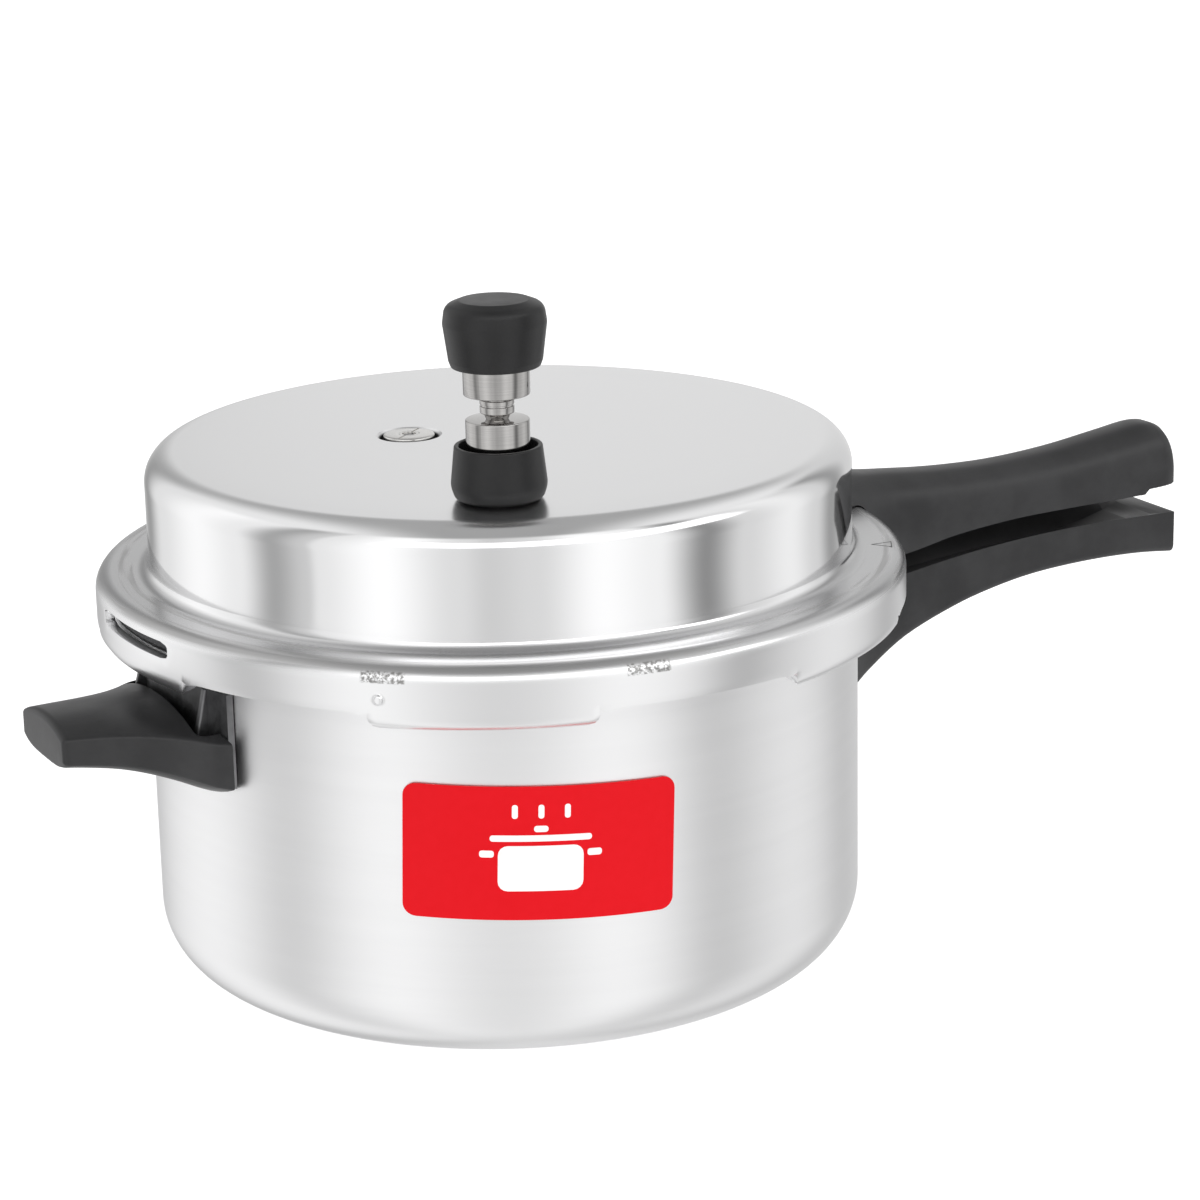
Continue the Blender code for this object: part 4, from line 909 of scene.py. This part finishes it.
def make_label_mark():
    """A plain cooking pot with steam, printed white on the label."""
    inner = WALL + PLAY + 0.4
    strokes = []

    def stroke(x0, z0, x1, z1, round_off=0.0):
        strokes.append(box("stroke", (WALL - 4, x0, z0), (WALL + 4, x1, z1), 0, round_off, 4))
    stroke(-13.0, -12.0, 13.0, 2.5, 3.0)
    stroke(-15.5, 3.9, 15.5, 5.9, 0.9)
    stroke(-2.2, 6.9, 2.2, 8.9, 0.9)
    stroke(-18.6, -1.2, -14.2, 1.0, 0.8)
    stroke(14.2, -1.2, 18.6, 1.0, 0.8)
    for x in (-8.0, 0.0, 8.0):
        stroke(x - 0.9, 11.2, x + 0.9, 15.6, 0.8)
    whole = joined(strokes)
    section = [(inner + 0.05, 95), (inner + 0.05, 50), (inner + 0.01, 50), (inner + 0.01, 95)]
    mark = spun("label_mark", section, 360, closed=True)
    turned_to(whole, (radians(LABEL_TILT), 0, 0), (0, 0, middle("label")[2]))
    cut(mark, whole, "INTERSECT")
    turned_to(mark, (0, 0, radians(LABEL_FACING)), (0, 0, 0))
    mark.data.materials.clear()
    mark.data.materials.append(MARK_WHITE)
    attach(mark, "pot")


def make_stamp():
    """The small arrowhead pressed into the flange beside the lid handle, drawn as thin dark grey lines of
    painted shade for its grooves.
    """
    points = (-28.6, 127.6), (-31.4, 127.6), (-30.0, 121.2)
    sides = []
    for index in range(3):
        start = Vector(radial(*points[index], FLANGE + 0.02))
        end = Vector(radial(*points[(index + 1) % 3], FLANGE + 0.02))
        run = end - start
        reach = run.length / 2 + 0.12
        side = box("stamp_side", (-reach, -0.16, -0.02), (reach, 0.16, 0.03))
        turned_to(side, (0, 0, atan2(run.y, run.x)), (start + end) / 2)
        sides.append(side)
    stamp = joined(sides)
    stamp.name = "flange_arrow"
    stamp.data.materials.append(STAMP_PAINTED_SHADE)
    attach(stamp, "lid")


make_pot()
make_label()
make_label_mark()
make_lid()
make_pip()
make_stamp()
make_gasket()
make_pot_handle()
make_lid_handle()
make_helper()
make_helper_gussets()
make_weight()
make_vent()
make_plug()

for name, finish in (
    ("pot_bracket", BRACKET_METAL), ("helper_bracket", BRACKET_METAL), ("lid_bracket", BRACKET_METAL),
    ("pot_rivet_1", RIVET_METAL), ("pot_rivet_2", RIVET_METAL), ("pot_rivet_3", RIVET_METAL),
    ("helper_rivet_1", RIVET_METAL), ("helper_rivet_2", RIVET_METAL), ("lid_rivet_1", RIVET_METAL),
    ("lid_rivet_2", RIVET_METAL), ("pot_handle_screw", CORE_STEEL), ("helper_handle_screw", CORE_STEEL),
    ("lid_handle_screw", CORE_STEEL), ("vent_nut", CORE_STEEL), ("vent_washer", GASKET_RUBBER),
    ("safety_plug_nut", PLUG_METAL), ("safety_plug_washer", GASKET_RUBBER), ("weight_clip", CORE_STEEL),
):
    node = frame["nodes"][name]
    node.data.materials.clear()
    node.data.materials.append(finish)


# ---------------------------------------------------------------- floor, light and camera

def make_floor():
    bpy.ops.object.select_all(action="DESELECT")
    bpy.ops.mesh.primitive_circle_add(vertices=96, radius=6.0, fill_type="NGON", location=(0, 0, -0.0002))
    floor = bpy.context.object
    floor.name = "floor"
    made, shader = new_finish("floor_paper", (0.93, 0.93, 0.93), 0.0, 0.9)
    shader.inputs["Specular IOR Level"].default_value = 0.0
    shader.inputs["Emission Color"].default_value = (1, 1, 1, 1)
    shader.inputs["Emission Strength"].default_value = 0.55
    floor.data.materials.append(made)
    floor.visible_glossy = False


def make_light():
    """A white studio: soft lights all round, with gaps between them and a darker ceiling."""
    world = bpy.data.worlds.new("studio")
    bpy.context.scene.world = world
    world.use_nodes = True
    tree = world.node_tree
    background = tree.nodes["Background"]
    facing = put(world, "TexCoord", out=0)
    split = tree.nodes.new("ShaderNodeSeparateXYZ")
    tree.links.new(facing, split.inputs[0])
    angle = put(world, "Math", split.outputs[1], split.outputs[0], operation="ARCTAN2")
    share = put(world, "MapRange", angle, -pi, pi, 0.0, 1.0)
    ramp = tree.nodes.new("ShaderNodeValToRGB")
    tree.links.new(share, ramp.inputs[0])
    ramp.color_ramp.interpolation = "EASE"
    # Brightness by the angle round from the camera's side, in degrees.
    lights = [(-180, 0.80), (-157, 0.34), (-140, 0.80), (-112, 1.04), (-92, 0.90), (-77, 0.40), (-60, 0.86),
              (-38, 1.10), (-14, 0.78), (-4, 0.66), (10, 0.74), (32, 1.08), (50, 0.96), (68, 0.28),
              (84, 0.72), (106, 0.92), (122, 0.70), (134, 0.34), (150, 0.66)]
    stops = sorted((((around - 116.0 + 180.0) % 360.0) / 360.0, value) for around, value in lights)
    elements = ramp.color_ramp.elements
    while len(elements) > 1:
        elements.remove(elements[0])
    ends = (stops[0][1] + stops[-1][1]) / 2
    elements[0].position = 0.0
    elements[0].color = (ends, ends, ends, 1)
    for place, value in stops + [(1.0, ends)]:
        stop = elements.new(place)
        stop.color = (value, value, value, 1)
    # A darker ceiling, which reaches lower behind than in front.
    ceiling = radial(64, cos(radians(75)), sin(radians(75)))
    over = put(world, "VectorMath", facing, ceiling, out=1, operation="DOT_PRODUCT")
    over = blend_between(world, over, cos(radians(52)), cos(radians(42)))
    aside = put(world, "VectorMath", facing, radial(-26, 1.0, 0.0), out=1,
                operation="DOT_PRODUCT")
    aside = blend_between(world, put(world, "Math", aside, operation="ABSOLUTE"), 0.18, 0.62)
    dim = mix_colours(world, aside, (0.38, 0.38, 0.38, 1), (0.86, 0.86, 0.86, 1))
    seen = mix_colours(world, over, ramp.outputs[0], dim)
    # A long soft box in front, above eye level, puts a line along the shoulders and grips.
    height = split.outputs[2]
    front = put(world, "VectorMath", facing, radial(-92, 1.0, 0.0), out=1,
                operation="DOT_PRODUCT")
    panel = put(world, "Math", blend_between(world, height, sin(radians(22)), sin(radians(28))),
                blend_between(world, height, sin(radians(44)), sin(radians(36))), operation="MULTIPLY")
    panel = put(world, "Math", panel, blend_between(world, front, 0.30, 0.55), operation="MULTIPLY")
    tree.links.new(mix_colours(world, panel, seen, (2.3, 2.3, 2.3, 1)), background.inputs[0])
    background.inputs[1].default_value = 1.0


def make_camera():
    place = Vector((-0.48841, -1.00139, 0.44081))
    target = Vector((0.02875, -0.01402, 0.11588))
    roll = -0.0219
    ahead = (target - place).normalized()
    across = ahead.cross(Vector((0, 0, 1))).normalized()
    up = across.cross(ahead)
    side = across * cos(roll) + up * sin(roll)
    top = up * cos(roll) - across * sin(roll)
    data = bpy.data.cameras.new("camera")
    data.lens = 105.67
    data.sensor_width = 36.0
    data.clip_start = 0.05
    camera = bpy.data.objects.new("camera", data)
    bpy.context.scene.collection.objects.link(camera)
    turn = Matrix((side, top, -ahead)).transposed().to_4x4()
    camera.matrix_world = Matrix.Translation(place) @ turn
    bpy.context.scene.camera = camera


make_floor()
make_light()
make_camera()
bpy.context.scene.view_settings.view_transform = "Standard"
